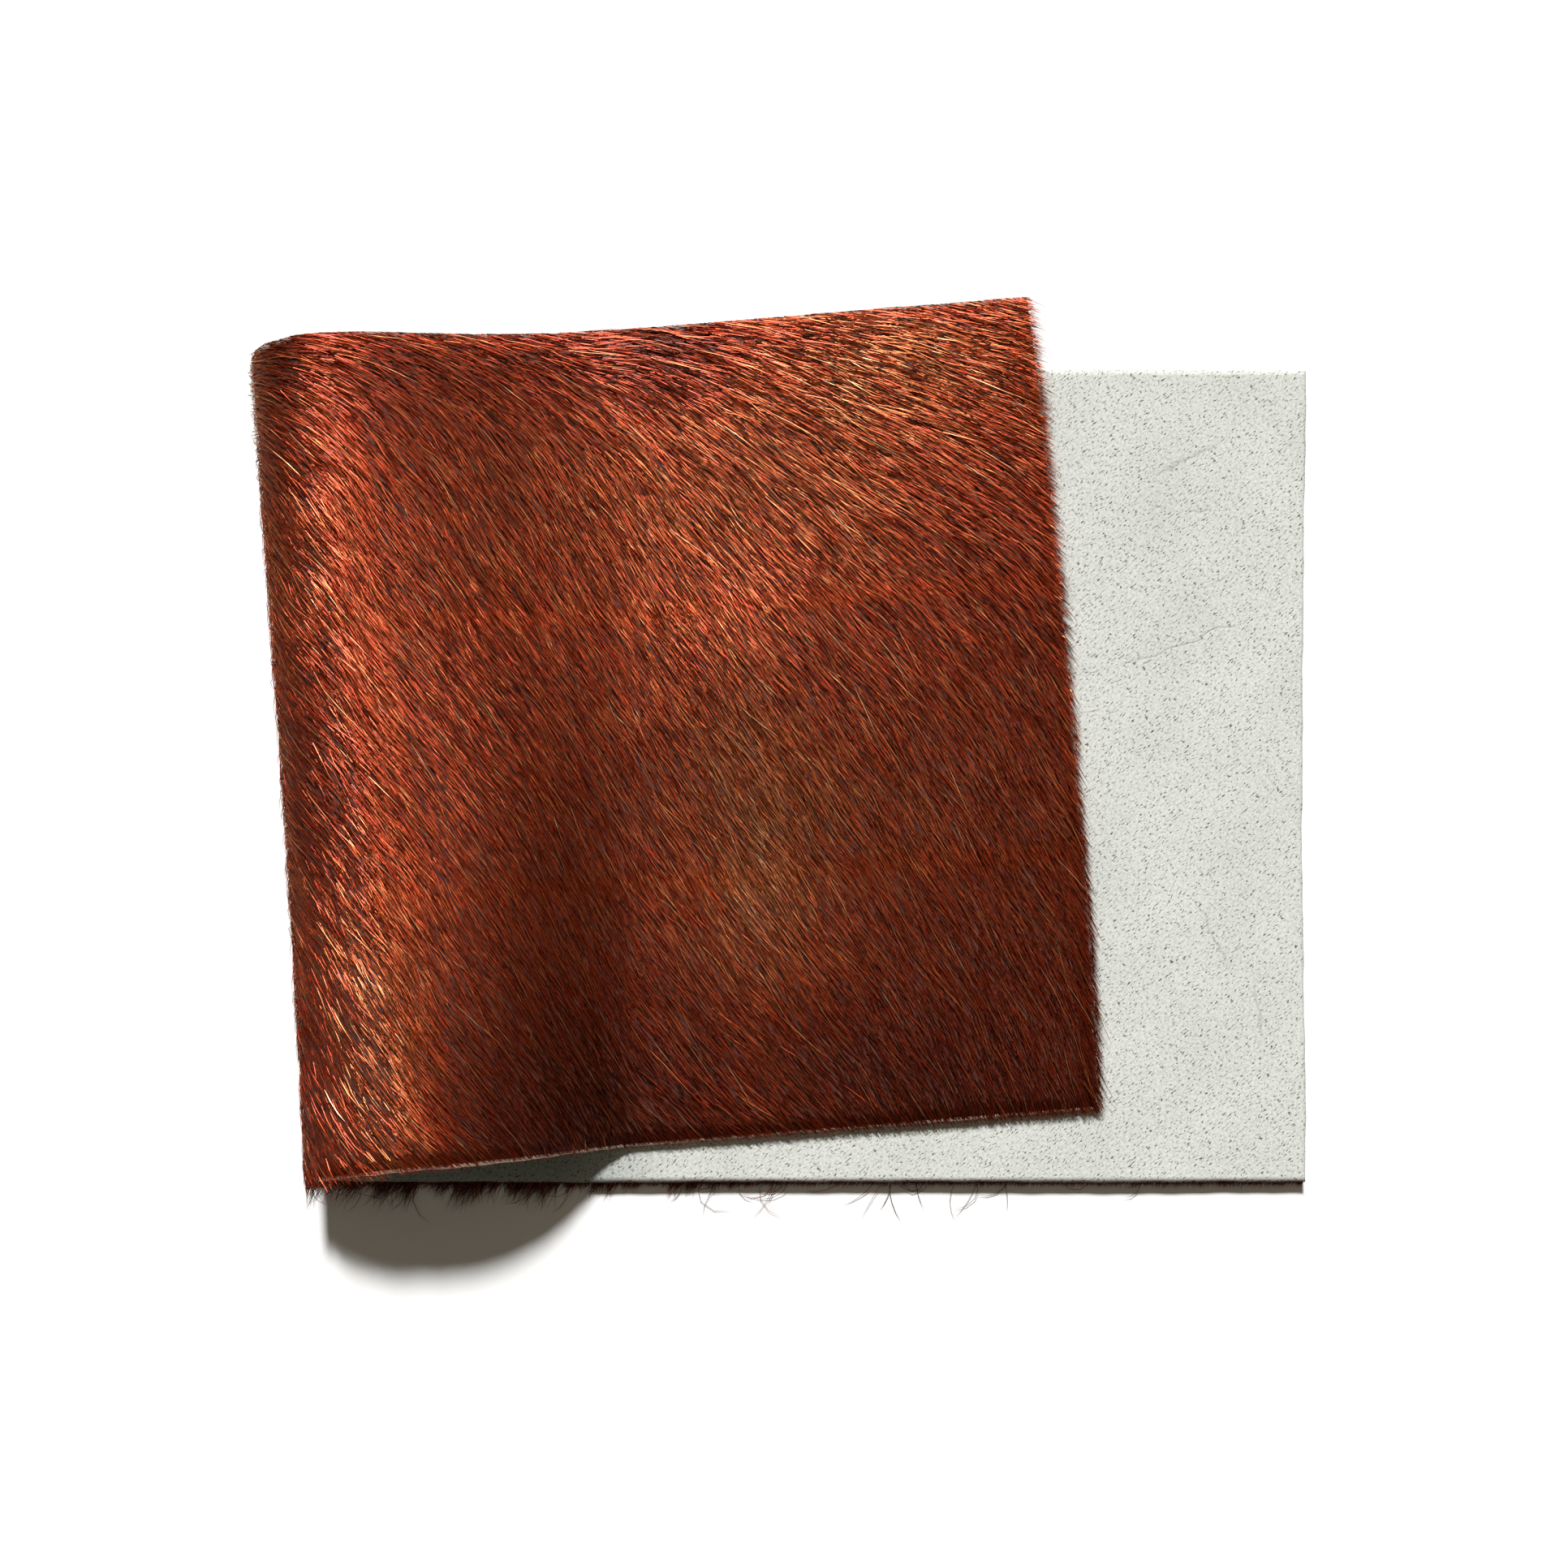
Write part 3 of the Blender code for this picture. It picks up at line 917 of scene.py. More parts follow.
@dataclass(frozen=True)
class Flow:
    """Which way the hair lies, as an angle from the strip's length towards the front edge.

    At the back edge it lies nearly along the strip. Further in it turns to the front, by one less
    the exponential of the depth's power; it turns soonest at the fold and latest at the free end.
    Slow and quick sines bend it a little everywhere, and turns are added in a few places.
    """

    strip: Strip
    back_angle: float = 13.0
    front_angle: float = 61.5
    depth_at_fold: float = 15.0 * MM
    depth_at_end: float = 47.0 * MM
    power: float = 1.25
    slow: float = 3.0
    quick: float = 4.0
    turns: tuple[Patch, ...] = (
        Patch(12.0, 12.0, 26.0, 34.0, -9.0),
        Patch(84.0, 0.0, 30.0, 18.0, -11.0),
        Patch(150.0, 4.0, 38.0, 44.0, 7.0),
        Patch(72.0, 196.0, 9.0, 9.0, -16.0),
    )

    def angle(self, progress: Array, share: Array) -> Array:
        """The angle at some places of the strip.

        Args:
            progress, share: the places.

        Returns:
            Angles in radians.
        """
        strip = self.strip
        crest = strip.mark(Mark.CREST, share)
        beyond = smooth((progress - crest) / (1.0 - crest))
        depth = np.maximum(1.0 - share, 0.0) * strip.width
        reach = self.depth_at_fold + (self.depth_at_end - self.depth_at_fold) * beyond
        turned = 1.0 - np.exp(-((depth / reach) ** self.power))
        degrees = self.back_angle + (self.front_angle - self.back_angle) * turned
        along, across = progress * strip.length, share * strip.width
        degrees = degrees + self.slow * np.sin(along / (23.0 * MM) + 1.3 * np.sin(across / (31.0 * MM)))
        degrees = degrees + self.slow * np.sin(across / (17.0 * MM) - along / (41.0 * MM))
        degrees = degrees + self.quick * np.sin(along / (5.7 * MM) + across / (9.1 * MM)) * np.sin(
            across / (6.3 * MM) - along / (10.7 * MM)
        )
        return np.radians(degrees + spread(self.turns, strip, progress, share))


@dataclass(frozen=True)
class Trim:
    """How far hair may stand past each cut edge, as read off along that edge.

    Along the front edge the marks are lower end, heel, waist, crest, landing and free end.
    Along the free end the places run from the front corner to the back one. Each edge has the least
    and the most that a hair is allowed, in millimetres; less than nothing leaves the skin bare.
    """

    strip: Strip
    front_least: tuple[float, ...] = (-0.2, 0.2, 0.8, -0.55, -0.65, 0.7)
    front_most: tuple[float, ...] = (0.3, 1.2, 5.5, 1.0, 0.7, 2.4)
    free_places: tuple[float, ...] = (0.0, 0.04, 0.2, 0.36, 0.64, 0.84, 1.0)
    free_least: tuple[float, ...] = (2.2, 2.0, 0.5, -0.3, -0.4, 0.6, 0.6)
    free_most: tuple[float, ...] = (6.5, 6.4, 5.0, 3.8, 3.6, 4.6, 4.2)
    back: float = 0.3 * MM

    def kept(self, progress: Array, share: Array, allowance: Array) -> Array:
        """The share of each hair that is left by the cut.

        The excess over what each edge allows is read at every step of the hair's course, and the
        hair ends where the straight line between two steps first passes zero.

        Args:
            progress, share: the courses, a row for each hair.
            allowance: each hair's own place between the least and the most, from 0 to 1.

        Returns:
            Shares from a little above 0 to 1.
        """
        strip = self.strip
        marks = strip.marks[0]
        front = self._allowed(progress, marks, self.front_least, self.front_most, allowance)
        free = self._allowed(share, self.free_places, self.free_least, self.free_most, allowance)
        over = np.maximum(-share * strip.width - front, (progress - 1.0) * strip.length - free)
        over = np.maximum(over, (share - 1.0) * strip.width - self.back)
        steps = progress.shape[1] - 1
        outside = over[:, 1:] > 0.0
        last = np.argmax(outside, axis=1)
        row = np.arange(len(over))
        before, after = over[row, last], over[row, last + 1]
        crossing = (last + np.clip(-before / np.maximum(after - before, 1e-9), 0.0, 1.0)) / steps
        return np.where(outside.any(axis=1), np.clip(crossing, 0.02, 1.0), 1.0)

    def _allowed(self, place: Array, marks: Array, least: tuple, most: tuple, allowance: Array) -> Array:
        """What an edge allows at some places, in metres, between its least and its most."""
        low, high = np.interp(place, marks, least), np.interp(place, marks, most)
        return MM * (low + (high - low) * allowance[:, None])


@dataclass(frozen=True)
class Family:
    """A family of hairs: where they grow, how many, how long, how thick and how they lie."""

    name: str
    count: int
    start: tuple[Mark, float]
    end: tuple[Mark, float]
    across: tuple[float, float]
    length: tuple[float, float]
    width: float = 0.185 * MM
    rings: tuple[float, ...] = ()
    level: tuple[float, float] = (0.0, 1.0)
    tone: tuple[float, float] = (0.42, 0.12)
    stray: float = 5.0
    bend: float = 8.0
    pull: float = 0.12
    sheen_and_shade_share: float = 1.0  # how much of the coat's painted sheen and shade it takes on
    least: float = 1.2 * MM


class Courses(NamedTuple):
    """Hairs ready to be made.

    They have points along each, the surface's outward direction there, the widths of all but the
    tips, how far each is rolled about itself, its tone, and the points' shares of its way.
    """

    points: Array
    out: Array
    widths: Array
    rolls: Array
    tones: Array
    reach: Array


@dataclass
class Coat:
    """The coat of hair, in pieces: an undercoat painted dark as shade and families of hairs over it."""

    strip: Strip
    flow: Flow
    trim: Trim
    seed: int = 41
    steps: int = 6
    lock_pitch: float = 2.3 * MM
    base_height: float = 1.0 * MM
    base_lower: float = 1.85 * MM
    base_step: float = 3.2 * MM
    base_inset: float = 1.2 * MM
    base_edge: tuple[float, float] = (0.2, 5.0 * MM)  # what is left at its edges, and how far in that goes
    root_height: tuple[float, float] = (0.45 * MM, 1.65 * MM)
    tip_height: tuple[float, float] = (0.82 * MM, 2.05 * MM)
    pressed_height: tuple[float, float] = (0.9 * MM, 1.9 * MM)
    swell: float = 0.18 * MM
    droop: float = 0.22  # how far hair past a cut sinks, by its length past it
    clearance: float = 0.25 * MM  # the least height over the surface
    rarity: float = 2.2  # the power by which hair that stands far past a cut is rare
    back_thinning: tuple[float, float] = (0.55, 5.0 * MM)  # by how much, and within how far of the edge
    front_thinning: tuple[float, float] = (0.72, 4.0 * MM)
    lock_tone: float = 0.07  # how far tone differs from lock to lock
    painted_depth_shade: float = 0.10  # painted shade: how far tone falls from the top of the coat to its bottom
    roll: float = 150.0  # degrees by which a hair is rolled on the mean, and how far that varies
    roll_spread: float = 24.0
    rise: tuple[float, float] = (0.15, 1.15)  # how steeply hair rises at the front edge and the back one
    lifts: tuple[Patch, ...] = (  # where it rises more steeply than elsewhere
        Patch(-12.0, 22.0, 15.0, 52.0, 2.2),
        Patch(-12.0, 120.0, 15.0, 50.0, 0.3),
        Patch(26.0, 95.0, 20.0, 48.0, 2.2),
        Patch(44.0, 122.0, 14.0, 22.0, 1.0),
        Patch(18.0, 42.0, 12.0, 22.0, 1.0),
        Patch(100.0, 132.0, 14.0, 14.0, 0.8),
        Patch(92.0, 52.0, 24.0, 18.0, 1.1),
        Patch(92.0, 132.0, 34.0, 20.0, 0.7),
    )
    patches: tuple[Patch, ...] = (  # painted sheen and shade: where its tone is painted paler for sheen or darker for shade
        Patch(-19.0, 110.0, 12.0, 130.0, 0.15),
        Patch(110.0, 0.0, 130.0, 42.0, -0.15),
        Patch(-28.0, 176.0, 11.0, 55.0, -0.2),
        Patch(-4.0, 28.0, 10.0, 34.0, 0.2),
        Patch(-27.0, 30.0, 9.0, 36.0, -0.18),
        Patch(-17.0, 96.0, 9.0, 32.0, -0.22),
        Patch(136.0, 14.0, 26.0, 16.0, -0.13),
        Patch(46.0, 10.0, 22.0, 24.0, -0.24),
        Patch(90.0, 52.0, 20.0, 14.0, 0.12),
        Patch(104.0, 164.0, 60.0, 27.0, 0.13),
        Patch(140.0, 192.0, 44.0, 16.0, 0.22),
        Patch(88.0, 196.0, 18.0, 10.0, -0.2),
        Patch(104.0, 84.0, 34.0, 22.0, 0.1),
        Patch(93.0, 78.0, 16.0, 50.0, 0.14),
        Patch(162.0, 142.0, 22.0, 34.0, -0.08),
        Patch(100.0, 204.0, 300.0, 24.0, -0.10),
    )
    material: bpy.types.Material = field(init=False)

    def __post_init__(self) -> None:
        """Makes the finish that all hairs share."""
        self.material = HairFinish().make()

    def families(self) -> tuple[Family, ...]:
        """The hairs of the coat: short ones in four fields, two longer families, and the underside's.

        Returns:
            The families.
        """
        fold = (Mark.HEEL, -12.0 * MM), (Mark.CREST, 8.0 * MM)
        upper = (Mark.CREST, -4.0 * MM), (Mark.FREE_END, 0.0)
        whole = (Mark.HEEL, -6.0 * MM), (Mark.FREE_END, 0.0)
        return (
            Family("hair_fold", 38000, *fold, (0.0, 1.0), (3.2 * MM, 5.4 * MM)),
            Family("hair_back", 42000, *upper, (0.65, 1.0), (3.4 * MM, 6.4 * MM)),
            Family("hair_middle", 42000, *upper, (0.32, 0.67), (3.4 * MM, 6.4 * MM)),
            Family("hair_front", 42000, *upper, (0.0, 0.34), (3.4 * MM, 6.4 * MM)),
            Family(
                "hair_over",
                7000,
                *whole,
                (0.0, 1.0),
                (8.0 * MM, 13.0 * MM),
                width=0.15 * MM,
                rings=(0.5,),
                level=(0.75, 1.1),
                tone=(0.45, 0.10),
                sheen_and_shade_share=0.6,
                stray=6.5,
                bend=12.0,
            ),
            Family(
                "hair_long",
                1200,
                *whole,
                (0.0, 1.0),
                (9.0 * MM, 16.0 * MM),
                width=0.13 * MM,
                rings=(0.34, 0.68),
                level=(1.0, 1.3),
                tone=(0.7, 0.12),
                sheen_and_shade_share=0.3,
                stray=6.0,
                bend=8.0,
                pull=0.0,
            ),
            Family(
                "hair_under",
                2600,
                (Mark.LOWER_END, 0.0),
                (Mark.HEEL, -4.0 * MM),
                (0.0, 1.0),
                (9.0 * MM, 13.0 * MM),
            ),
        )

    def roots(self, family: Family, dice: np.random.Generator) -> tuple[Array, Array]:
        """Where a family's hairs stand: an even spread from two irrational steps, then shaken.

        Args:
            family: the family.
            dice: the source of chance.

        Returns:
            Progress and share of the roots.
        """
        number = np.arange(family.count)
        even = np.stack([number * 0.7548776662, number * 0.5698402910], axis=-1) + dice.random(2)
        shaken = (even + dice.normal(0.0, 0.004, even.shape)) % 1.0
        low, high = family.across
        share = low + (high - low) * shaken[:, 1]
        start = self.strip.mark(family.start[0], share) + family.start[1] / self.strip.length
        end = self.strip.mark(family.end[0], share) + family.end[1] / self.strip.length
        progress = start + (end - start) * shaken[:, 0]
        return np.clip(progress, 0.0, 1.0), np.clip(share, 0.003, 0.997)

    def locks(self, progress: Array, share: Array) -> tuple[Array, Array, Array]:
        """The lock that each hair belongs to: cells of a grid whose middles are shaken.

        Args:
            progress, share: the roots.

        Returns:
            How far away the lock's middle is in progress and in share, and the lock's own number
            from 0 to 1.
        """
        pitch = self.lock_pitch / self.strip.length, self.lock_pitch / self.strip.width
        cell_p, cell_s = np.floor(progress / pitch[0]), np.floor(share / pitch[1])
        first = np.modf(np.abs(np.sin(cell_p * 12.9898 + cell_s * 78.233) * 437.585))[0]
        second = np.modf(np.abs(np.sin(cell_p * 39.346 + cell_s * 11.135) * 237.111))[0]
        middle_p = (cell_p + 0.15 + 0.7 * first) * pitch[0]
        middle_s = (cell_s + 0.15 + 0.7 * second) * pitch[1]
        return middle_p - progress, middle_s - share, np.modf(first * 7.31 + second * 3.17)[0]

    def courses(self, family: Family) -> Courses:
        """Grows a family over the surface.

        Each hair walks over the strip in a few steps along the flow, turned by its own stray angle
        and bent evenly on its way. What the cut leaves of it is walked again. Then it is drawn
        towards the middle of its lock by a share that grows with the power 1.5 of the way, and
        raised off the skin from its root's height to its tip's. Over the fold it is raised by part
        of what a straight line between its ends would cut off the surface.

        Args:
            family: the family.

        Returns:
            Its hairs.
        """
        dice = np.random.default_rng([self.seed, len(family.name), family.count])
        progress, share = self.roots(family, dice)
        count = len(progress)
        lengths = dice.uniform(*family.length, count)
        stray = np.radians(dice.normal(0.0, family.stray, count))
        bend = np.radians(dice.normal(0.0, family.bend, count))
        level = dice.uniform(*family.level, count)
        allowance = dice.random(count) ** self.rarity
        kept = self.trim.kept(*self._walk(progress, share, lengths, stray, bend), allowance)
        lengths = lengths * kept
        long_enough = lengths > family.least
        progress, share, lengths = progress[long_enough], share[long_enough], lengths[long_enough]
        stray, bend, level = stray[long_enough], bend[long_enough], level[long_enough]
        count = len(progress)
        trail = self._walk(progress, share, lengths, stray, bend)
        strip = self.strip
        reach = np.array([0.0, *family.rings, 1.0])
        away_p, away_s, lock = self.locks(progress, share)
        draw = family.pull * reach**1.5
        course_p = self._read(trail[0], reach) + away_p[:, None] * draw
        course_s = self._read(trail[1], reach) + away_s[:, None] * draw
        here = strip.at(course_p, course_s)
        height = self._heights(course_p, course_s, reach, level, lock)
        half_p, half_s = (0.5 * (course[:, 0] + course[:, -1]) for course in (course_p, course_s))
        middle = strip.at(half_p, half_s)
        sag = dot(middle.point - 0.5 * (here.point[:, 0] + here.point[:, -1]), middle.out)
        height = height + np.maximum(sag, 0.0)[:, None] * (0.15 if family.rings else 0.7)
        points = here.point + here.out * (strip.leather + height)[..., None]
        past = np.maximum(np.maximum(-course_s * strip.width, (course_p - 1.0) * strip.length), 0.0)
        points[..., 2] -= self.droop * past * (here.out[..., 2] > 0.0)
        points[..., 2] = np.maximum(points[..., 2], self.clearance)
        tones = family.tone[0] + family.tone[1] * dice.normal(0.0, 1.0, count)
        # tone differs at random from lock to lock; by level it is painted shade, darker deep in the coat
        tones = tones + self.lock_tone * (lock - 0.5) + self.painted_depth_shade * (level - 0.5)
        # painted sheen and shade from the coat's patches
        tones = tones + family.sheen_and_shade_share * spread(self.patches, strip, progress, share)
        taper = np.interp(reach[:-1], (0.0, 0.35, 1.0), (1.0, 1.0, 0.5))
        widths = family.width * taper * dice.uniform(0.75, 1.25, count)[:, None]
        rolls = np.radians(dice.normal(self.roll, self.roll_spread, count))
        return Courses(points, here.out, widths, rolls, np.clip(tones, 0.03, 0.97), reach)

    def _walk(
        self, progress: Array, share: Array, lengths: Array, stray: Array, bend: Array
    ) -> tuple[Array, Array]:
        """Walks hairs over the strip in equal steps along the flow.

        Args:
            progress, share: their roots.
            lengths: how far each goes.
            stray: each one's angle off the flow, in radians.
            bend: how far each turns on its way, in radians.

        Returns:
            Their courses in progress and in share, a row for each hair.
        """
        trail_p, trail_s = [progress], [share]
        for index in range(self.steps):
            here = self.strip.at(trail_p[-1], trail_s[-1])
            way = (index + 0.5) / self.steps - 0.5
            angle = self.flow.angle(trail_p[-1], trail_s[-1]) + stray + bend * way
            heading = here.along * np.cos(angle)[:, None] + here.front * np.sin(angle)[:, None]
            more_p, more_s = self.strip.walk(here, heading * (lengths / self.steps)[:, None])
            trail_p.append(trail_p[-1] + more_p)
            trail_s.append(trail_s[-1] + more_s)
        return np.stack(trail_p, axis=1), np.stack(trail_s, axis=1)

    def _read(self, trail: Array, reach: Array) -> Array:
        """Reads courses, straight between steps.

        Args:
            trail: the courses, a row for each hair.
            reach: the shares of the way to read them at.

        Returns:
            A row for each hair, with a value for each share.
        """
        place = reach * self.steps
        index = np.minimum(place.astype(int), self.steps - 1)
        part = place - index
        return trail[:, index] * (1.0 - part) + trail[:, index + 1] * part

    def _heights(self, progress: Array, share: Array, reach: Array, level: Array, lock: Array) -> Array:
        """Heights over the skin's outer side along each hair.

        A hair rises from its root's height to its tip's, soonest near the root; its level sets both.
        Where the coat is lifted, the root sinks by half of what the tip gains.
        The coat swells by a product of sines and by lock, is pressed flat under the lower layer, and
        thins towards the back edge and, past the crest, towards the front one.

        Args:
            progress, share: the hairs' courses.
            reach: the shares of the way that they are read at.
            level: each hair's place from the bottom of the coat to its top.
            lock: each hair's lock, from 0 to 1.

        Returns:
            Heights in metres.
        """
        strip = self.strip
        root = self.root_height[0] + (self.root_height[1] - self.root_height[0]) * level
        tip = self.tip_height[0] + (self.tip_height[1] - self.tip_height[0]) * level
        rise = self.rise[0] + (self.rise[1] - self.rise[0]) * smooth(1.2 * share)
        lift = spread(self.lifts, strip, progress, share)
        climb = (rise + lift) * (1.0 - (1.0 - reach) ** 2) - 0.5 * lift
        loose = root[:, None] + (tip - root)[:, None] * climb
        along, across = progress * strip.length, share * strip.width
        waves = np.sin(along / (11.0 * MM) + 0.7) * np.sin(across / (8.0 * MM))
        loose = loose + self.swell * (0.5 + 0.5 * reach) * (0.5 * waves + (lock - 0.5)[:, None])
        pressed = np.interp(level, (0.0, 1.0), self.pressed_height)
        heel, waist = strip.mark(Mark.HEEL, share), strip.mark(Mark.WAIST, share)
        lifted = smooth((progress - heel) / (waist - heel))
        past = smooth((progress - waist) / (strip.mark(Mark.CREST, share) - waist))
        back_edge = 1.0 - smooth((1.0 - share) * strip.width / self.back_thinning[1])
        front_edge = past * (1.0 - smooth(share * strip.width / self.front_thinning[1]))
        loose = loose * (1.0 - self.back_thinning[0] * back_edge)
        loose = loose * (1.0 - self.front_thinning[0] * front_edge)
        return np.minimum(pressed[:, None], loose) * (1.0 - lifted) + loose * lifted

    def hairs(self, name: str, courses: Courses) -> bpy.types.Object:
        """Makes closed, three-sided hairs that taper to a point.

        Round every point but the tip stands a ring of three corners, a third of a turn apart. One
        face closes the root, two join each side of two rings, and a fan closes the tip. The faces
        stay flat, so that each throws the light square to the hair.

        Args:
            name: the piece's name.
            courses: the hairs.

        Returns:
            The object.
        """
        points = courses.points
        count, rings = len(points), points.shape[1] - 1
        ahead = np.concatenate([points[:, 1:], points[:, -1:]], axis=1)
        behind = np.concatenate([points[:, :1], points[:, :-1]], axis=1)
        course = unit(ahead - behind)[:, :-1]
        side = unit(np.cross(course, courses.out[:, :-1]))
        up = np.cross(side, course)
        thirds = courses.rolls[:, None] - np.arange(3) * (2.0 * np.pi / 3.0)
        across, rise = np.cos(thirds)[:, None, :, None], np.sin(thirds)[:, None, :, None]
        radius = CORNER_REACH * courses.widths[:, :, None, None]
        ring = points[:, :-1, None] + radius * (side[:, :, None] * across + up[:, :, None] * rise)
        vertices = np.concatenate([ring.reshape(count, rings * 3, 3), points[:, -1:]], axis=1)
        tip = 3 * rings
        faces = [(0, 1, 2)]
        for j, k in ((0, 1), (1, 2), (2, 0)):
            for near in range(0, tip - 3, 3):
                faces.append((near + j, near + 3 + j, near + 3 + k))
                faces.append((near + j, near + 3 + k, near + k))
            faces.append((tip, tip - 3 + k, tip - 3 + j))
        pattern = np.array(faces)
        all_faces = (pattern[None] + (np.arange(count) * (tip + 1))[:, None, None]).reshape(-1, 3)
        corners = [-TONE_WIDTH, TONE_WIDTH, 0.0] * rings
        place = np.empty((count, tip + 1, 2))
        place[..., 0] = courses.tones[:, None] + np.array([*corners, 0.0])
        place[..., 1] = 0.01 + 0.98 * np.append(np.repeat(courses.reach[:-1], 3), 1.0)
        place[:, 2:tip:3, 1] += 0.01
        layouts = {BAKE_UV: place[:, pattern.ravel()].reshape(-1, 2)}
        vertices = vertices.reshape(-1, 3)
        return make_piece(name, vertices, all_faces, layouts, self.material, rounded=False)

    def base(self) -> bpy.types.Object:
        """The undercoat: a closed slab on the skin's outer side, thin towards its edges, painted dark as
        shade.

        Its inner side is the skin's outer side. Its outer side is that, moved out by the undercoat's
        height, which is greater under the lower layer and falls to a fifth at the edges.

        Returns:
            The object.
        """
        strip = self.strip
        inset_p, inset_s = self.base_inset / strip.length, self.base_inset / strip.width
        progress_line = np.linspace(inset_p, 1.0 - inset_p, round(strip.length / self.base_step))
        share_line = np.linspace(inset_s, 1.0 - 1.5 * inset_s, round(strip.width / self.base_step))
        progress, share = np.meshgrid(progress_line, share_line)
        heel, waist = strip.mark(Mark.HEEL, share), strip.mark(Mark.WAIST, share)
        lifted = smooth((progress - heel) / (waist - heel))
        height = self.base_lower + (self.base_height - self.base_lower) * lifted
        edge = np.minimum(np.minimum(share, 1.0 - share) * strip.width, (1.0 - progress) * strip.length)
        least, fade = self.base_edge
        height = height * (least + (1.0 - least) * (smooth(edge / fade) * lifted + 1.0 - lifted))
        here = strip.at(progress, share)
        inner = here.point + here.out * (strip.leather + 0.03 * MM)
        outer = here.point + here.out * (strip.leather + height)[..., None]
        grid = SheetGrid(inner, outer, progress, share, strip)
        material = ShadedUndercoatFinish().make()
        piece = make_piece("undercoat", grid.points, grid.faces, grid.layouts(), material)
        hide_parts("hair_coat")
        return piece

    def build(self) -> list[bpy.types.Object]:
        """The coat without the fringe on the surface.

        Returns:
            The undercoat and a piece for each family.
        """
        pieces = [self.base()]
        for family in self.families():
            pieces.append(self.hairs(family.name, self.courses(family)))
        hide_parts("locks_fold_front")
        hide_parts("locks_upper_front", "locks_free_end")
        return pieces


class Tips(NamedTuple):
    """Hairs of the fringe.

    They have where each starts, from 0 at the lower end to 1 at the fold, its length, its own lean
    and how far it turns on its way, in degrees, and how far along its tip is drawn, on the scale of
    its start.
    """

    start: Array
    length: Array
    stray: Array
    bend: Array
    pull: Array


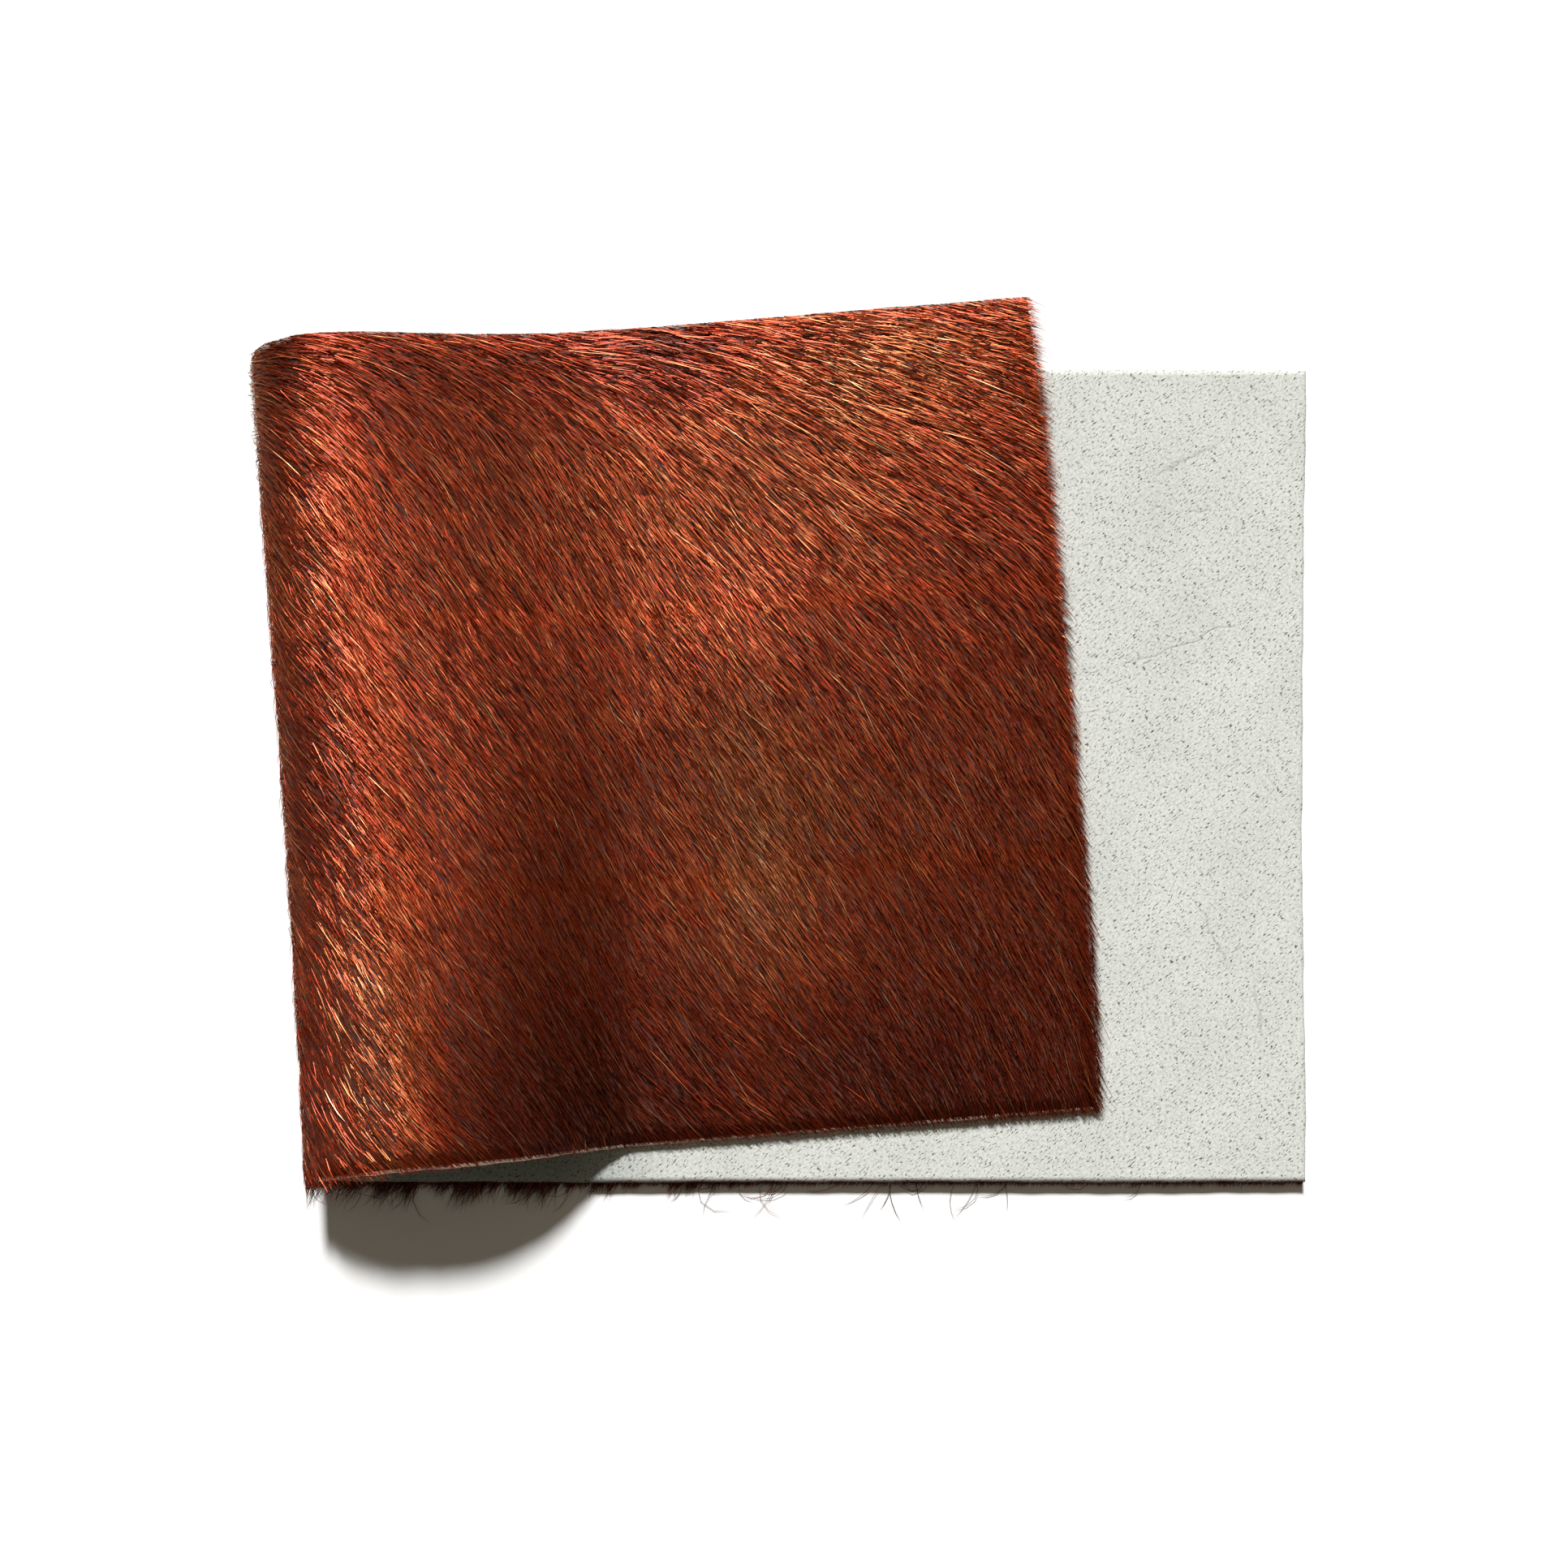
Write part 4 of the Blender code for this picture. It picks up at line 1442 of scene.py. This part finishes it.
@dataclass
class Fringe:
    """Hair past the lower layer's front edge, lying on the surface and leaning to the fold."""

    coat: Coat
    seed: int = 7
    pitch: float = 2.2 * MM
    tuft_hairs: int = 54
    longest: tuple[float, float] = (1.8 * MM, 11.5 * MM)  # at the lower end, and at the fold
    grown: tuple[float, float] = (0.46, 0.82)  # where the tufts grow from the one to the other
    tuft_lean: float = 7.0
    tuft_spread: float = 6.0
    tuft_bend: float = 16.0
    band_hairs: int = 5200
    band_length: tuple[float, float] = (0.9 * MM, 2.3 * MM)
    band_spread: float = 14.0
    strays: int = 44
    stray_length: tuple[float, float] = (6.0 * MM, 12.0 * MM)
    stray_spread: float = 24.0
    stray_bend: float = 60.0
    lean: tuple[float, float] = (20.0, 32.0)  # degrees from square to the edge, at both its ends
    width: float = 0.15 * MM
    tone: tuple[float, float] = (0.13, 0.09)
    end: float = field(init=False)

    def __post_init__(self) -> None:
        """Reads where the lower layer's front edge turns up, as progress along the strip."""
        self.end = float(self.coat.strip.marks[0, Mark.WAIST.value])

    def build(self) -> list[bpy.types.Object]:
        """The tufts, a close band of short hairs at the edge, and a few long strays.

        Returns:
            The three pieces.
        """
        dice = np.random.default_rng(self.seed)
        pieces = [
            self._grow("fringe_lower", self._tufts(dice), (0.0, 0.42, 1.0), dice),
            self._grow("fringe_band", self._band(dice), (0.0, 1.0), dice),
            self._grow("fringe_strays", self._strays(dice), (0.0, 0.25, 0.5, 0.75, 1.0), dice),
        ]
        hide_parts("locks_lower_front")
        return pieces

    def _tufts(self, dice: np.random.Generator) -> Tips:
        """Hairs in tufts, one for each pitch of the edge.

        A tuft's hairs start near its middle and end drawn together. A tuft has its own size, from
        three tenths of the longest to all of it, and its hairs fall below that by up to 0.85.

        Args:
            dice: the source of chance.

        Returns:
            The hairs.
        """
        tufts = round(self.end * self.coat.strip.length / self.pitch)
        middle = (np.arange(tufts) + dice.uniform(0.1, 0.9, tufts)) / tufts
        own = 0.3 + 0.7 * dice.random(tufts)
        own_lean = dice.normal(0.0, self.tuft_lean, tufts)
        owner = np.repeat(np.arange(tufts), self.tuft_hairs)
        count = len(owner)
        start = middle[owner] + dice.normal(0.0, 0.5 / tufts, count)
        grown = smooth((middle[owner] - self.grown[0]) / (self.grown[1] - self.grown[0]))
        longest = self.longest[0] + (self.longest[1] - self.longest[0]) * grown
        length = longest * own[owner] * (0.15 + 0.85 * dice.random(count) ** 1.4)
        stray = own_lean[owner] + dice.normal(0.0, self.tuft_spread, count)
        pull = (middle[owner] - start) * dice.uniform(0.2, 0.9, count)
        bend = dice.normal(0.0, self.tuft_bend, count)
        return Tips(start, length, stray, bend, pull)

    def _band(self, dice: np.random.Generator) -> Tips:
        """Short hairs, evenly along the edge.

        Args:
            dice: the source of chance.

        Returns:
            The hairs.
        """
        start = dice.random(self.band_hairs)
        length = dice.uniform(*self.band_length, self.band_hairs)
        stray, bend = dice.normal(0.0, self.band_spread, (2, self.band_hairs))
        return Tips(start, length, stray, bend, np.zeros(self.band_hairs))

    def _strays(self, dice: np.random.Generator) -> Tips:
        """Long single hairs, more of them near the fold.

        Args:
            dice: the source of chance.

        Returns:
            The hairs.
        """
        start = dice.random(self.strays) ** 0.7
        length = dice.uniform(*self.stray_length, self.strays)
        stray = dice.normal(0.0, self.stray_spread, self.strays)
        bend = dice.normal(0.0, self.stray_bend, self.strays)
        return Tips(start, length, stray, bend, np.zeros(self.strays))

    def _grow(
        self, name: str, tips: Tips, shares: tuple[float, ...], dice: np.random.Generator
    ) -> bpy.types.Object:
        """Lays hairs on the surface from the edge outwards and makes them one piece.

        Each hair leans from the square to the edge by the place's own angle and its stray one, which
        grows evenly by its bend on the way, and is drawn along the edge by its pull.

        Args:
            name: the piece's name.
            tips: the hairs.
            shares: the shares of its way at which each has a point.
            dice: the source of chance.

        Returns:
            The piece.
        """
        strip = self.coat.strip
        count = len(tips.start)
        reach = np.array(shares)
        progress = np.clip(tips.start, 0.002, 1.0) * self.end
        share = dice.uniform(0.1, 1.1, count) * MM / strip.width
        lean = np.radians(self.lean[0] + (self.lean[1] - self.lean[0]) * tips.start + tips.stray)
        turned = lean[:, None] + np.radians(tips.bend)[:, None] * (reach - 0.4)
        out_by = np.cos(turned) * reach * tips.length[:, None]
        along_by = np.sin(turned) * reach * tips.length[:, None]
        course_p = progress[:, None] + along_by / strip.length + (tips.pull * self.end)[:, None] * reach
        course_s = share[:, None] - out_by / strip.width
        here = strip.at(course_p, course_s)
        floor = strip.lower_flesh - strip.leather
        tip = dice.uniform(0.5, 0.9, count) * floor
        root = dice.uniform(0.05, 0.8, count) * floor
        height = strip.leather + root[:, None] + (tip - root)[:, None] * np.clip(reach * 1.6, 0.0, 1.0)
        points = here.point + here.out * height[..., None]
        points[..., 2] = np.maximum(points[..., 2], self.coat.clearance)
        taper = np.linspace(1.0, 0.7, len(shares) - 1)
        widths = self.width * taper * dice.uniform(0.8, 1.25, count)[:, None]
        rolls = dice.uniform(0.0, 2.0 * np.pi, count)
        tones = np.clip(dice.normal(*self.tone, count), 0.03, 0.9)
        return self.coat.hairs(name, Courses(points, here.out, widths, rolls, tones, reach))


@dataclass(frozen=True)
class Studio:
    """The white surface, a soft sun from the back, a faint warm fill and the camera."""

    floor_size: float = 4.0
    camera_height: float = 513.6 * MM
    nadir: tuple[float, float] = (-0.514 * MM, -62.115 * MM)
    lens: float = 46.92
    sensor: float = 36.0
    shift: tuple[float, float] = (0.0031, 0.139)
    sun_strength: float = 4.9
    sun_angle: float = math.radians(8.7)
    sun_travel: tuple[float, float, float] = (0.12, -1.04, -1.0)
    fill: Colour = (1.0, 0.87, 0.66)
    fill_strength: float = 0.125

    def build(self) -> None:
        """Sets all of it up."""
        self._floor()
        self._lights()
        self._camera()
        bpy.context.scene.view_settings.view_transform = "Standard"

    def _floor(self) -> None:
        """One wide flat face, which isn't part of the object."""
        half = 0.5 * self.floor_size
        mesh = bpy.data.meshes.new("surface")
        corners = [(-half, -half, 0.0), (half, -half, 0.0), (half, half, 0.0), (-half, half, 0.0)]
        mesh.from_pydata(corners, [], [(0, 1, 2, 3)])
        mesh.materials.append(FloorFinish().make())
        floor = bpy.data.objects.new("surface", mesh)
        bpy.context.scene.collection.objects.link(floor)

    def _lights(self) -> None:
        """The sun, turned to travel along its direction, and the world's even fill."""
        sun = bpy.data.lights.new("sun", "SUN")
        sun.energy = self.sun_strength
        sun.angle = self.sun_angle
        lamp = bpy.data.objects.new("sun", sun)
        x, y, z = self.sun_travel
        lamp.rotation_euler = (math.atan2(math.hypot(x, y), -z), 0.0, math.atan2(-x, y))
        bpy.context.scene.collection.objects.link(lamp)
        world = bpy.data.worlds.new("fill")
        world.use_nodes = True
        background = world.node_tree.nodes["Background"]
        background.inputs["Color"].default_value = (*self.fill, 1.0)
        background.inputs["Strength"].default_value = self.fill_strength
        bpy.context.scene.world = world

    def _camera(self) -> None:
        """Straight above, moved off the object's middle by the picture's own framing."""
        data = bpy.data.cameras.new("camera")
        data.lens = self.lens
        data.sensor_width = self.sensor
        data.shift_x, data.shift_y = self.shift
        data.clip_start = 0.01
        camera = bpy.data.objects.new("camera", data)
        camera.location = (*self.nadir, self.camera_height)
        bpy.context.scene.collection.objects.link(camera)
        bpy.context.scene.camera = camera


def main() -> None:
    """Builds the skin, its coat and the fringe, and sets up the studio."""
    logging.basicConfig(level=logging.INFO, format="%(message)s")
    strip = Strip()
    skin = Skin(strip).build()
    coat = Coat(strip, Flow(strip), Trim(strip))
    pieces = coat.build()
    pieces.extend(Fringe(coat).build())
    Studio().build()


if __name__ == "__main__":
    main()
